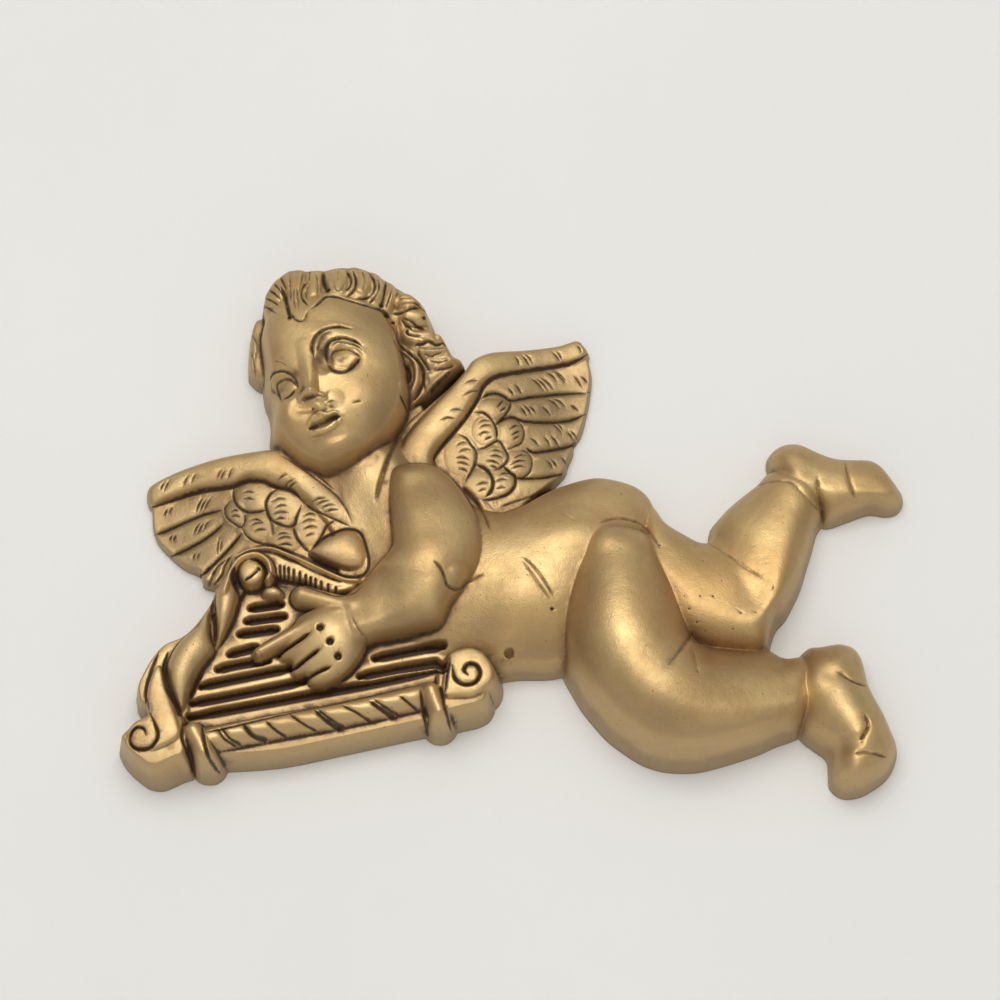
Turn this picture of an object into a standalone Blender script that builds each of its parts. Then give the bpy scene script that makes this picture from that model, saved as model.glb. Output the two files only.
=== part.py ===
# Cherub wall plaque: a flying putto with a small harp, cast in one piece with a flat back.
#
# The relief is a height field over the wall plane. Sizes are in millimetres and become metres at the
# end. The wall plane is Y = 0, the relief rises towards -Y, +X is to the right and +Z is up as hung.
# Outlines and carved lines are set out on a drawing sheet: its unit is SHEET_UNIT, x runs right and y
# runs down, and the sheet stands square to a sight line that looks up at the plaque by SIGHT_TILT.
import math

import bmesh
import bpy
import numpy as np

MM = 0.001
NAME = "cherub_plaque"

# driving sizes, mm
SHEET_UNIT = 0.4
SHEET_CENTRE = (500.0, 500.0)
SIGHT_DISTANCE = 1200.0
SIGHT_TILT = math.radians(20.0)
ORIGIN_X = -5.0
ORIGIN_Z = -29.0
WALL_DRAFT = 7.0
GRID_STEP = 0.7
FIELD_LEFT, FIELD_RIGHT = -156.0, 168.0
FIELD_LOW, FIELD_HIGH = -132.0, 104.0
FAR_BELOW = -12.0
SHEET_TRIANGLES = 9300
WELD = 5e-5

# crest heights above the wall, mm
TORSO_CREST = 32.0
CHEST_CREST = 23.0
NECK_CREST = 21.0
WING_PLATE = 13.0
WING_BAND = 18.5
NEAR_LEG_CREST = 43.0
NEAR_FOOT_CREST = 28.0
FAR_LEG_CREST = 27.0
FAR_FOOT_CREST = 22.0
UPPER_ARM_CREST = 39.0
WRIST_CREST = 31.0
HAND_CREST = 30.0
FACE_CREST = 41.0
HAIR_CREST = 33.0
SIDE_HAIR_CREST = 15.0
HARP_FLOOR = 16.5
HARP_SLOT_FLOOR = 11.0
HARP_FRAME = 18.0
HARP_BASE = 22.0
HARP_RAIL = 25.5
HARP_ROPE = 27.0
PILLAR_CREST = 26.0

COS, SIN, TAN = math.cos(SIGHT_TILT), math.sin(SIGHT_TILT), math.tan(SIGHT_TILT)
XS = np.arange(FIELD_LEFT, FIELD_RIGHT + GRID_STEP / 2, GRID_STEP)
ZS = np.arange(FIELD_LOW, FIELD_HIGH + GRID_STEP / 2, GRID_STEP)
X, Z = np.meshgrid(XS, ZS)

# seen outlines on the sheet
TORSO = [(440, 478), (470, 500), (497, 513), (515, 508), (530, 500), (545, 491), (560, 485), (590, 476),
         (620, 479), (643, 490), (655, 508), (662, 540), (655, 580), (640, 620), (600, 660), (560, 679),
         (520, 681), (498, 684), (450, 692), (390, 670), (350, 630), (340, 580), (352, 530), (385, 482),
         (410, 470)]
NECK = [(285, 440), (300, 456), (312, 467), (325, 478), (335, 488), (343, 498), (350, 510), (354, 527),
        (352, 545), (350, 580), (395, 580), (396, 500), (400, 470), (405, 445), (415, 425), (400, 400),
        (300, 400)]
UPPER_ARM = [(390, 470), (400, 463), (415, 460), (430, 461), (440, 466), (452, 475), (460, 485),
             (470, 500), (483, 527), (488, 555), (485, 575), (478, 588), (468, 602), (455, 615),
             (440, 632), (420, 632), (400, 612), (392, 580), (391, 545), (387, 510), (388, 482)]
FOREARM = [(340, 598), (355, 585), (375, 565), (400, 548), (425, 545), (450, 556), (465, 575),
           (468, 597), (458, 616), (440, 636), (420, 640), (400, 643), (380, 646), (368, 650),
           (352, 654), (340, 640), (338, 615)]
NEAR_LEG = [(600, 522), (590, 527), (580, 537), (570, 551), (563, 567), (557, 585), (553, 620),
            (556, 655), (563, 680), (570, 693), (580, 710), (590, 723), (605, 740), (620, 752),
            (640, 765), (660, 772), (680, 774), (700, 773), (720, 768), (740, 762), (760, 755),
            (775, 748), (800, 738), (811, 720), (820, 690), (818, 675), (812, 662), (802, 650),
            (785, 650), (775, 645), (765, 640), (740, 639), (720, 639), (700, 640), (694, 634),
            (687, 615), (680, 595), (672, 575), (665, 560), (659, 546), (650, 537), (640, 529),
            (620, 523)]
NEAR_FOOT = [(802, 648), (812, 643), (833, 638), (845, 641), (855, 648), (862, 660), (866, 675),
             (870, 690), (878, 705), (886, 720), (893, 738), (897, 752), (893, 770), (885, 782),
             (873, 791), (860, 798), (845, 800), (835, 796), (828, 787), (827, 770), (824, 760),
             (815, 753), (800, 741), (790, 720), (790, 690), (795, 662)]
FAR_LEG = [(640, 500), (655, 505), (662, 516), (670, 525), (685, 532), (700, 535), (707, 530),
           (715, 519), (725, 507), (740, 494), (752, 485), (760, 476), (768, 470), (790, 468),
           (812, 476), (823, 490), (825, 505), (823, 525), (820, 530), (816, 537), (812, 552),
           (806, 572), (800, 592), (793, 607), (785, 622), (776, 632), (771, 645), (765, 665),
           (740, 672), (700, 668), (660, 650), (640, 600), (635, 540)]
FAR_FOOT = [(765, 465), (769, 453), (778, 445), (788, 442), (800, 443), (812, 449), (825, 454),
            (840, 457), (865, 457), (875, 461), (885, 470), (893, 482), (900, 493), (903, 501),
            (901, 510), (895, 516), (885, 518), (870, 516), (858, 519), (845, 524), (825, 530),
            (815, 522), (800, 508), (780, 495), (768, 480)]
HAIR = [(262, 318), (264, 308), (266, 300), (270, 292), (275, 285), (283, 278), (292, 272),
        (306, 271), (320, 273), (333, 271), (347, 269), (360, 268), (375, 274), (390, 280),
        (400, 289), (412, 295), (425, 306), (434, 319), (440, 335), (450, 343), (456, 358),
        (465, 368), (462, 385), (448, 400), (430, 415), (404, 430), (370, 450), (325, 460),
        (291, 445), (276, 430), (273, 410), (266, 375), (262, 345)]
SIDE_HAIR = [(260, 319), (254, 326), (251, 335), (249, 350), (248, 380), (251, 386), (256, 391),
             (262, 394), (280, 400), (285, 360), (278, 325)]
FACE = [(263, 332), (262, 345), (264, 360), (266, 375), (268, 390), (272, 400), (274, 415),
        (273, 430), (276, 440), (282, 447), (291, 456), (303, 466), (315, 472), (325, 475),
        (340, 473), (355, 466), (370, 457), (385, 446), (395, 433), (403, 418), (407, 400),
        (406, 380), (402, 360), (397, 342), (388, 322), (372, 308), (350, 299), (325, 297),
        (300, 300), (280, 308), (268, 320)]
RIGHT_BAND = [(465, 368), (472, 358), (487, 351), (500, 349), (520, 348), (540, 346), (560, 343),
              (577, 338), (585, 345), (588, 354), (575, 363), (545, 370), (520, 374), (500, 377),
              (484, 385), (476, 400), (463, 422), (445, 442), (438, 450), (433, 462), (420, 466),
              (400, 468), (392, 462), (392, 448), (400, 437), (425, 410), (440, 395), (455, 380)]
LEFT_BAND = [(147, 492), (157, 481), (185, 468), (220, 457), (260, 450), (275, 449), (290, 452),
             (312, 467), (335, 487), (343, 497), (350, 508), (355, 522), (345, 525), (325, 519),
             (300, 498), (290, 491), (272, 486), (250, 481), (233, 488), (197, 493), (165, 504),
             (152, 508)]
BACK_OF_HAND = [(302, 618), (309, 606), (322, 597), (336, 592), (348, 596), (358, 607), (366, 625),
                (369, 642), (366, 656), (358, 669), (347, 679), (334, 686), (320, 689), (309, 683),
                (302, 668), (298, 650), (298, 632)]
SOUND_ARM = [(250, 552), (265, 549), (280, 552), (295, 559), (310, 563), (325, 572), (340, 578),
             (355, 578), (366, 573), (370, 582), (362, 590), (350, 597), (335, 599), (318, 594),
             (300, 586), (280, 584), (268, 574)]
LOWER_PILLAR = [(208, 607), (196, 628), (181, 640), (171, 655), (167, 670), (168, 685), (173, 700),
                (181, 714), (186, 712), (190, 698), (197, 682), (207, 668), (216, 655), (213, 640),
                (212, 620)]
UPPER_PILLAR = [(228, 572), (220, 585), (215, 600), (216, 620), (217, 640), (214, 655), (222, 646),
                (231, 632), (238, 615), (241, 600), (238, 585)]
TOP_VOLUTE = [(232, 580), (230, 568), (237, 559), (248, 555), (259, 556), (267, 563), (269, 573),
              (266, 582), (259, 588), (250, 592), (243, 599), (236, 592)]
LEFT_VOLUTE = [(143, 717), (134, 721), (126, 730), (121, 741), (120, 755), (130, 762), (145, 760),
               (160, 755), (178, 748), (181, 735), (176, 715), (168, 690), (163, 668), (155, 668),
               (148, 682), (147, 700), (150, 712)]
RIGHT_VOLUTE = [(443, 697), (444, 670), (447, 655), (458, 648), (470, 646), (482, 650), (490, 659),
                (495, 671), (494, 682), (486, 691), (474, 698), (458, 699)]
LEFT_COLLAR = [(183, 724), (190, 719), (199, 720), (205, 727), (206, 745), (213, 760), (220, 773),
               (211, 780), (203, 783), (196, 779), (190, 762), (182, 745)]
RIGHT_COLLAR = [(420, 688), (426, 681), (434, 680), (440, 685), (443, 700), (450, 731), (447, 740),
                (438, 743), (429, 740), (425, 720)]

# outlines with the height at which each corner is seen, (x, y, height)
RIGHT_WING = [(465, 368, 9), (472, 358, 9), (487, 351, 9), (520, 348, 9), (560, 343, 9), (577, 338, 9),
              (585, 345, 9), (590, 365, 8), (592, 378, 6), (589, 405, 4), (584, 428, 3), (580, 440, 3),
              (574, 447, 4), (573, 455, 4), (568, 468, 3), (562, 480, 4), (530, 505, 8), (500, 530, 8),
              (440, 520, 8), (400, 480, 8), (400, 437, 8), (425, 410, 9), (455, 380, 9)]
LEFT_WING = [(147, 492, 3), (157, 481, 9), (185, 468, 9), (220, 457, 9), (260, 450, 9), (290, 452, 9),
             (325, 478, 9), (345, 500, 9), (360, 545, 9), (365, 575, 9), (300, 600, 9), (213, 592, 2),
             (203, 584, 1), (200, 577, 1), (185, 571, 1), (170, 558, 1), (158, 545, 0), (153, 530, 0),
             (152, 509, 0)]
STRING_BOARD = [(190, 762, 0), (440, 735, 0), (450, 650, 16), (420, 600, 16), (300, 560, 16),
                (255, 575, 16), (230, 610, 16), (185, 700, 16)]
HARP_SIDE = [(228, 565, 18), (218, 580, 16), (212, 592, 10), (208, 607, 8), (194, 626, 9), (180, 634, 14),
             (163, 645, 10), (150, 662, 7), (139, 685, 4), (136, 697, 2), (137, 706, 0), (144, 722, 0),
             (190, 750, 18), (196, 690, 18), (216, 660, 18), (240, 606, 18), (268, 575, 18),
             (262, 556, 18), (245, 552, 18)]
BASE_BLOCK = [(200, 778, 0), (219, 775, 0), (280, 769, 0), (340, 757, 0), (428, 738, 0), (445, 735, 0),
              (440, 680, 25), (420, 681, 25), (380, 690, 25), (340, 697, 25), (300, 704, 25),
              (240, 714, 25), (185, 721, 25)]
TOP_RAIL = [(190, 735, 25), (230, 726, 25), (290, 713, 25), (340, 703, 25), (430, 682, 25),
            (430, 677, 25), (380, 689, 25), (300, 703, 25), (240, 713, 25), (185, 720, 25)]
LEFT_BLOCK = [(150, 712, 24), (143, 717, 20), (135, 721, 16), (128, 728, 12), (122, 738, 7),
              (119, 748, 3), (120, 757, 0), (127, 766, 0), (135, 775, 0), (144, 784, 0), (150, 790, 0),
              (162, 792, 0), (172, 789, 0), (185, 783, 0), (205, 775, 0), (200, 740, 22), (185, 705, 24)]
RIGHT_BLOCK = [(440, 655, 22), (450, 651, 22), (470, 646, 22), (489, 656, 20), (495, 668, 14),
               (498, 685, 5), (497, 700, 0), (495, 712, 0), (490, 722, 0), (480, 728, 0), (468, 731, 0),
               (455, 734, 0), (440, 737, 0)]

# carved lines: (half width, depth, soft width, points)
RIGHT_WING_LINES = [
    (1.2, 2.4, 0.0, [(587, 355), (560, 367), (520, 374), (490, 380), (476, 400), (455, 432), (438, 450),
                     (435, 458), (438, 463)]),
    (1.2, 2.0, 1.4, [(480, 399), (495, 393), (510, 399), (545, 396), (590, 392)]),
    (1.2, 2.0, 1.4, [(503, 419), (525, 420), (565, 420), (586, 414)]),
    (1.2, 2.0, 1.4, [(525, 449), (540, 452), (574, 444)]),
    (1.2, 2.0, 1.4, [(515, 478), (545, 477), (566, 474)]),
    (1.1, 1.7, 0.0, [(480, 399), (475, 412), (492, 418), (497, 438), (476, 451)]),
    (1.1, 1.7, 0.0, [(510, 399), (511, 407), (497, 424)]),
    (1.1, 1.7, 0.0, [(500, 423), (510, 418), (524, 432), (522, 443), (507, 449)]),
    (1.1, 1.7, 0.0, [(455, 434), (470, 446), (475, 465), (463, 482)]),
    (1.1, 1.7, 0.0, [(476, 451), (495, 443), (507, 455), (500, 469), (492, 474)]),
    (1.1, 1.7, 0.0, [(510, 450), (525, 448), (532, 465), (517, 478), (505, 465)]),
    (1.1, 1.7, 0.0, [(474, 464), (490, 471), (491, 490), (485, 497), (500, 499), (516, 482)]),
    (1.1, 1.7, 0.0, [(503, 466), (516, 479), (506, 494)]),
    (1.1, 1.7, 0.0, [(438, 463), (446, 470), (463, 488)])]
LEFT_WING_LINES = [
    (1.2, 2.4, 0.0, [(152, 508), (180, 497), (215, 488), (240, 482), (262, 481), (290, 491), (305, 504)]),
    (1.2, 2.0, 1.4, [(154, 535), (190, 521), (222, 510)]),
    (1.2, 2.0, 1.4, [(170, 558), (200, 541), (224, 523)]),
    (1.2, 2.0, 1.4, [(200, 577), (225, 553), (243, 531)]),
    (1.2, 2.0, 1.4, [(213, 592), (220, 570), (230, 552)]),
    (1.1, 1.7, 0.0, [(236, 487), (236, 500), (248, 511), (266, 508), (272, 488)]),
    (1.1, 1.7, 0.0, [(278, 492), (268, 510), (280, 526), (297, 518), (302, 503)]),
    (1.1, 1.7, 0.0, [(230, 502), (227, 520), (243, 528), (247, 515)]),
    (1.1, 1.7, 0.0, [(246, 530), (254, 540), (272, 545), (266, 514)]),
    (1.1, 1.7, 0.0, [(293, 528), (298, 538), (310, 551)]),
    (1.1, 1.7, 0.0, [(303, 505), (325, 522), (313, 548), (298, 532)]),
    (1.1, 1.7, 0.0, [(322, 535), (332, 521), (355, 528)]),
    (1.1, 1.7, 0.0, [(310, 553), (335, 534), (358, 533)]),
    (1.1, 1.7, 0.0, [(312, 556), (345, 572), (366, 566)])]
SCALES = [(500, 405), (484, 425), (510, 432), (460, 455), (493, 458), (520, 462), (480, 480), (503, 482),
          (253, 495), (285, 510), (235, 516), (257, 528), (285, 540), (310, 520)]
HARP_LINES = [
    (1.3, 2.8, 0.0, [(213, 598), (213, 615), (215, 648)]),
    (1.3, 2.4, 0.0, [(163, 655), (164, 685), (181, 716)]),
    (1.5, 3.2, 0.0, [(153, 655), (147, 690), (155, 720), (159, 732), (143, 750), (130, 738), (140, 724),
                     (146, 736), (137, 737)]),
    (1.3, 2.2, 0.0, [(243, 600), (233, 582), (232, 572), (246, 562)]),
    (1.2, 2.2, 0.0, [(246, 579), (257, 569)]),
    (1.5, 3.0, 0.0, [(459, 672), (471, 666), (480, 680), (463, 691), (447, 677), (449, 667)]),
    (1.0, 2.0, 0.0, [(205, 731), (260, 719), (340, 702), (420, 684)]),
    (1.0, 1.6, 0.0, [(205, 752), (240, 750), (340, 733), (420, 718)]),
    (1.1, 2.2, 0.0, [(182, 720), (186, 752), (196, 778)]),
    (1.2, 2.4, 0.0, [(204, 727), (204, 745), (220, 773)]),
    (1.1, 2.2, 0.0, [(420, 688), (424, 715), (428, 737)]),
    (1.2, 2.4, 0.0, [(440, 686), (443, 700), (451, 732)])]
STRING_SLOTS = [[(251, 608), (281, 603)], [(243, 622), (284, 616)], [(238, 636), (275, 629)],
                [(228, 653), (256, 645)], [(217, 668), (252, 660)], [(200, 686), (283, 670)],
                [(191, 703), (298, 682)], [(190, 717), (310, 697), (443, 669)],
                [(380, 645), (440, 637)], [(376, 656), (446, 646)], [(362, 677), (446, 658)]]
ROPE_AXIS = [(200, 742), (260, 731), (340, 718), (430, 699)]
ROPE_TWISTS = 8
HEAD_LINES = [
    (1.3, 2.4, 0.0, [(311, 430), (318, 425), (328, 422), (338, 416)]),
    (1.1, 1.6, 0.0, [(314, 356), (312, 348), (321, 332), (341, 326), (358, 333)]),
    (1.0, 1.5, 0.0, [(327, 357), (333, 342), (352, 341), (367, 356)]),
    (1.1, 2.0, 0.0, [(325, 362), (338, 374), (358, 362)]),
    (1.0, 1.6, 0.0, [(270, 389), (275, 373), (292, 374), (297, 381)]),
    (1.0, 1.5, 0.0, [(279, 394), (283, 400), (298, 388)]),
    (0.9, 1.4, 0.0, [(299, 403), (310, 396), (318, 399), (327, 390)]),
    (1.6, 3.4, 0.0, [(402, 363), (411, 375), (405, 389)]),
    (1.3, 2.0, 0.0, [(393, 326), (404, 350), (420, 369), (418, 398), (411, 406)]),
    (1.2, 2.2, 1.2, [(318, 305), (334, 297), (360, 305), (392, 323)]),
    (1.2, 2.4, 1.2, [(282, 287), (290, 319)]),
    (1.1, 1.8, 1.2, [(305, 272), (302, 290), (307, 306)]),
    (1.1, 2.0, 1.2, [(325, 275), (328, 292)]),
    (1.1, 1.8, 1.2, [(347, 270), (352, 288), (346, 299)]),
    (1.1, 1.6, 1.2, [(362, 272), (371, 290), (365, 302)]),
    (1.1, 1.6, 1.2, [(378, 277), (377, 292), (368, 303)]),
    (1.1, 1.6, 1.2, [(385, 284), (382, 308)]),
    (1.1, 1.8, 1.2, [(402, 318), (428, 336)]),
    (1.1, 1.4, 1.2, [(410, 340), (440, 337)]),
    (1.1, 1.4, 1.2, [(415, 352), (447, 347)]),
    (1.1, 1.4, 1.2, [(424, 375), (455, 372)])]
LOCKS = [
    (2.6, 2.0, [(287, 276), (289, 292), (301, 316)]),
    (3.6, 2.4, [(316, 277), (313, 288), (314, 299)]),
    (3.4, 2.0, [(338, 275), (340, 286), (338, 295)]),
    (2.6, 1.8, [(354, 273), (360, 284), (350, 298)]),
    (2.6, 1.8, [(368, 275), (375, 288), (366, 303)]),
    (2.4, 1.7, [(382, 279), (385, 295), (375, 307)]),
    (2.4, 1.7, [(392, 284), (396, 295), (390, 309)]),
    (3.0, 1.8, [(402, 312), (412, 303), (424, 309)]),
    (3.0, 2.0, [(405, 320), (420, 328), (432, 330)]),
    (2.6, 1.8, [(408, 343), (422, 347), (443, 342)]),
    (2.6, 1.8, [(415, 357), (432, 360), (450, 356)]),
    (2.6, 1.5, [(424, 385), (438, 380), (452, 374)])]
BODY_LINES = [
    (1.0, 1.5, 0.0, [(522, 558), (542, 579), (554, 599)]),
    (1.3, 1.4, 2.5, [(693, 633), (680, 650), (668, 665)]),
    (1.2, 2.0, 2.5, [(705, 538), (730, 558), (765, 580)]),
    (1.0, 1.8, 1.5, [(838, 672), (852, 681), (866, 686)]),
    (1.2, 2.2, 1.5, [(865, 717), (868, 727), (860, 740)]),
    (1.0, 1.8, 1.5, [(855, 753), (868, 752), (887, 757)]),
    (1.1, 1.8, 1.5, [(818, 478), (819, 490), (823, 525)]),
    (1.1, 1.6, 1.5, [(845, 463), (849, 480), (855, 498)]),
    (1.2, 1.5, 0.0, [(600, 523), (625, 519), (647, 530), (659, 547)]),
    (1.3, 2.4, 0.0, [(434, 561), (444, 578), (452, 588), (462, 588), (483, 574)]),
    (1.0, 1.6, 0.0, [(283, 654), (298, 642), (312, 630)]),
    (1.0, 1.6, 0.0, [(286, 668), (302, 659), (322, 644)]),
    (1.0, 1.4, 0.0, [(300, 680), (315, 672), (336, 664)])]
FINGERS = [
    (3.5, 26.0, [(330, 612), (310, 624), (285, 638), (259, 652)]),
    (3.0, 26.0, [(330, 630), (312, 643), (288, 660)]),
    (3.0, 26.5, [(340, 645), (322, 656), (302, 671)]),
    (3.2, 27.0, [(348, 662), (330, 674), (312, 684)]),
    (3.4, 26.5, [(336, 606), (318, 604), (296, 592)])]
KNUCKLE_HOLES = [(320, 627), (330, 642), (338, 656)]
# soft lumps and hollows of the face: (x, y, half width, half height, rise, turn in degrees)
FACE_FORMS = [(368, 405, 15, 15, 3.0, 0), (290, 425, 8, 11, 2.2, 0), (352, 322, 18, 12, 1.5, 0),
              (322, 450, 8, 7, 3.4, 0), (341, 351, 11, 9.5, -4.4, 0), (284, 385, 8.5, 9, -4.0, 0)]
FACE_FEATURES = [(305, 350, 5, 14, 1.6, 4), (307, 378, 4.6, 9, 3.0, 4), (310, 389, 4.8, 4.4, 3.4, 0),
                 (322, 391, 3.2, 3.2, 2.0, 0), (301, 396, 2.6, 2.6, 1.5, 0), (343, 357, 7.6, 6.6, 4.2, 12),
                 (286, 389, 5.0, 5.4, 3.8, 10), (322, 415, 7.0, 2.8, 2.2, 14), (328, 432, 6.0, 3.2, 2.6, 14),
                 (409, 376, 4.5, 11, 3.0, 8)]


def wall_point(x, y, height=0.0):
    """Where the sight line through sheet point (x, y) meets the level `height` above the wall."""
    across = SHEET_UNIT * (np.asarray(x, float) - SHEET_CENTRE[0])
    up = SHEET_UNIT * (SHEET_CENTRE[1] - np.asarray(y, float))
    reach = (SIGHT_DISTANCE * COS - height) / (SIGHT_DISTANCE * COS - up * SIN)
    return reach * across, -SIGHT_DISTANCE * SIN + reach * (up * COS + SIGHT_DISTANCE * SIN)


def soft_max(first, second, blend):
    """The higher of two surfaces, with a fillet about `blend` mm wide where they cross."""
    share = np.clip(0.5 + 0.5 * (first - second) / blend, 0.0, 1.0)
    return second + (first - second) * share + blend * share * (1.0 - share)


def soft_min(first, second, blend):
    return -soft_max(-first, -second, blend)


def smooth_line(points, count, closed=False):
    """A Catmull-Rom curve through the points."""
    p = np.asarray(points, float)
    if closed:
        p = np.vstack([p[-1:], p, p[:2]])
    elif len(p) == 2:
        share = np.linspace(0.0, 1.0, count)[:, None]
        return p[0] * (1.0 - share) + p[1] * share
    else:
        p = np.vstack([2 * p[0] - p[1], p, 2 * p[-1] - p[-2]])
    place = np.linspace(0.0, len(p) - 3 - 1e-9, count)
    i = place.astype(int)
    f = (place - i)[:, None]
    a, b, c, d = p[i], p[i + 1], p[i + 2], p[i + 3]
    bend = (2 * a - 5 * b + 4 * c - d) * f ** 2 + (3 * b - a - 3 * c + d) * f ** 3
    return 0.5 * (2 * b + (c - a) * f + bend)


def window(px, pz, reach):
    """The part of the grid within `reach` of some wall points."""
    low = np.clip([(pz.min() - reach - FIELD_LOW) / GRID_STEP, (px.min() - reach - FIELD_LEFT) / GRID_STEP],
                  0, None).astype(int)
    high = [int((pz.max() + reach - FIELD_LOW) / GRID_STEP) + 2,
            int((px.max() + reach - FIELD_LEFT) / GRID_STEP) + 2]
    return slice(low[0], high[0]), slice(low[1], high[1])


def line_distance(px, pz, gx, gz):
    """Distance of grid points to a line of wall points."""
    best = np.full(gx.shape, 1e9)
    for k in range(len(px) - 1):
        ex, ez = px[k + 1] - px[k], pz[k + 1] - pz[k]
        along = ((gx - px[k]) * ex + (gz - pz[k]) * ez) / (ex * ex + ez * ez + 1e-12)
        along = np.clip(along, 0.0, 1.0)
        best = np.minimum(best, (gx - px[k] - along * ex) ** 2 + (gz - pz[k] - along * ez) ** 2)
    return np.sqrt(best)


def inside_distance(foot, gx, gz):
    """Signed distance to a closed foot line, positive inside."""
    ring = np.vstack([foot, foot[:1]])
    inside = np.zeros(gx.shape, bool)
    for (ax, az), (bx, bz) in zip(ring[:-1], ring[1:]):
        if az != bz:
            inside ^= ((az > gz) != (bz > gz)) & (gx < (bx - ax) * (gz - az) / (bz - az) + ax)
    away = line_distance(ring[:, 0], ring[:, 1], gx, gz)
    return np.where(inside, away, -away)


def plate(outline, top, rim=1.2):
    """A flat-topped form; outline corners carry the height at which they are seen."""
    o = np.asarray(outline, float)
    x, z = wall_point(o[:, 0], o[:, 1], o[:, 2])
    foot = smooth_line(np.stack([x, z], 1), 3 * len(o), closed=True)
    inset = inside_distance(foot, X, Z)
    return np.where(inset > 0, soft_min(top + 0 * X, WALL_DRAFT * inset, 2 * rim), WALL_DRAFT * inset)


def foot_line(outline, rise, side, base):
    """The foot of a rounded form whose seen outline is given.

    The lower edge is seen at the foot itself. The upper edge is seen part of the way up the form,
    so the foot lies below it by the form's rise and roundness.
    """
    o = np.asarray(outline, float)
    q = np.stack(wall_point(o[:, 0], o[:, 1], base), 1)
    following = np.roll(q, -1, axis=0)
    area = 0.5 * np.sum(q[:, 0] * following[:, 1] - following[:, 0] * q[:, 1])
    girth = np.sum(np.hypot(*(following - q).T))
    half_width = 1.3 * abs(area) / girth
    along = following - np.roll(q, 1, axis=0)
    along /= np.hypot(along[:, 0], along[:, 1])[:, None]
    outward = np.stack([along[:, 1], -along[:, 0]], 1) * math.copysign(1.0, area)
    upward = np.clip(outward[:, 1], 0.0, 1.0)
    round_rise = (1.0 - side) * rise * TAN * upward
    shift = side * rise * TAN * upward + np.sqrt(half_width ** 2 + round_rise ** 2) - half_width
    return smooth_line(q - outward * shift[:, None], 3 * len(q), closed=True)


def pillow(inset, step, rounds):
    """A membrane held at the outline and pushed up evenly, by repeated averaging."""
    u = np.clip(inset, 0.0, None) * inset.max()
    held = inset > 0
    for _ in range(rounds):
        v = np.zeros_like(u)
        v[1:-1, 1:-1] = u[:-2, 1:-1] + u[2:, 1:-1] + u[1:-1, :-2] + u[1:-1, 2:]
        u = np.where(held, 0.25 * v + step * step, 0.0)
    return u


def rounded(outline, crest, side=0.3, base=0.0, draft=WALL_DRAFT, coarse=1.5):
    """A fleshy form filling a seen outline; `side` is the upright share of its edge."""
    rise = float(np.max(crest)) - base
    foot = foot_line(outline, rise, side, base)
    fx, fz = foot[:, 0], foot[:, 1]
    cx = np.arange(fx.min() - 3 * coarse, fx.max() + 3 * coarse, coarse)
    cz = np.arange(fz.min() - 3 * coarse, fz.max() + 3 * coarse, coarse)
    inset = inside_distance(foot, *np.meshgrid(cx, cz))
    u = pillow(inset, coarse, int(2.5 * (inset.max() / coarse) ** 2) + 60)
    part = window(fx, fz, 6.0)
    gx, gz = X[part], Z[part]
    swell = np.sqrt(np.clip(bilinear(u, gx, gz, cx[0], cz[0], coarse) / u.max(), 0.0, 1.0))
    inset = inside_distance(foot, gx, gz)
    top = crest if np.isscalar(crest) else crest[part]
    height = base + (top - base) * (side + (1.0 - side) * swell)
    edge = base + draft * inset
    out = np.full(X.shape, FAR_BELOW)
    out[part] = np.where(inset > 0, soft_min(height, edge, 3.0), edge)
    return np.maximum(out, FAR_BELOW)


def bilinear(field, px, pz, left, low, step):
    fx = np.clip((np.asarray(px) - left) / step, 0, field.shape[1] - 1.001)
    fz = np.clip((np.asarray(pz) - low) / step, 0, field.shape[0] - 1.001)
    j, i = fx.astype(int), fz.astype(int)
    u, v = fx - j, fz - i
    near = field[i, j] * (1 - u) + field[i, j + 1] * u
    far = field[i + 1, j] * (1 - u) + field[i + 1, j + 1] * u
    return near * (1 - v) + far * v


def land(field, points):
    """Drop sheet points on to the relief along their sight lines; returns wall x, z."""
    p = np.asarray(points, float)
    height = np.zeros(len(p))
    found = np.zeros(len(p), bool)
    for level in np.arange(46.0, 0.0, -0.5):
        x, z = wall_point(p[:, 0], p[:, 1], level)
        hit = ~found & (bilinear(field, x, z, FIELD_LEFT, FIELD_LOW, GRID_STEP) >= level)
        height[hit] = level
        found |= hit
    return wall_point(p[:, 0], p[:, 1], height)


def carve(field, ground, half, depth, soft, points):
    """Cut a groove along sheet points; `ground` is the surface that the line is drawn on."""
    x, z = land(ground, smooth_line(points, 8 * len(points)))
    part = window(x, z, half + 3 * soft + 1)
    away = line_distance(x, z, X[part], Z[part])
    cut = depth * np.clip(1.0 - away / half, 0.0, 1.0) ** 1.2
    if soft:
        cut = cut + 0.5 * depth * np.exp(-(away / soft) ** 2)
    field[part] -= cut


def slot(field, ground, half, floor, points):
    """Sink a slot with steep walls down to a level floor."""
    x, z = land(ground, smooth_line(points, 8 * len(points)))
    part = window(x, z, half + 3)
    away = line_distance(x, z, X[part], Z[part])
    field[part] = np.minimum(field[part], floor + 5.0 * np.clip(away - half, 0.0, None))


def lump(field, ground, x, y, half_x, half_z, rise, turn=0.0, fullness=1.6):
    """A soft swelling, or a hollow when the rise is negative."""
    cx, cz = land(ground, [(x, y)])
    c, s = math.cos(math.radians(turn)), math.sin(math.radians(turn))
    u = ((X - cx[0]) * c + (Z - cz[0]) * s) / half_x
    v = ((Z - cz[0]) * c - (X - cx[0]) * s) / half_z
    field += rise * np.clip(1.0 - u * u - v * v, 0.0, 1.0) ** fullness


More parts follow.
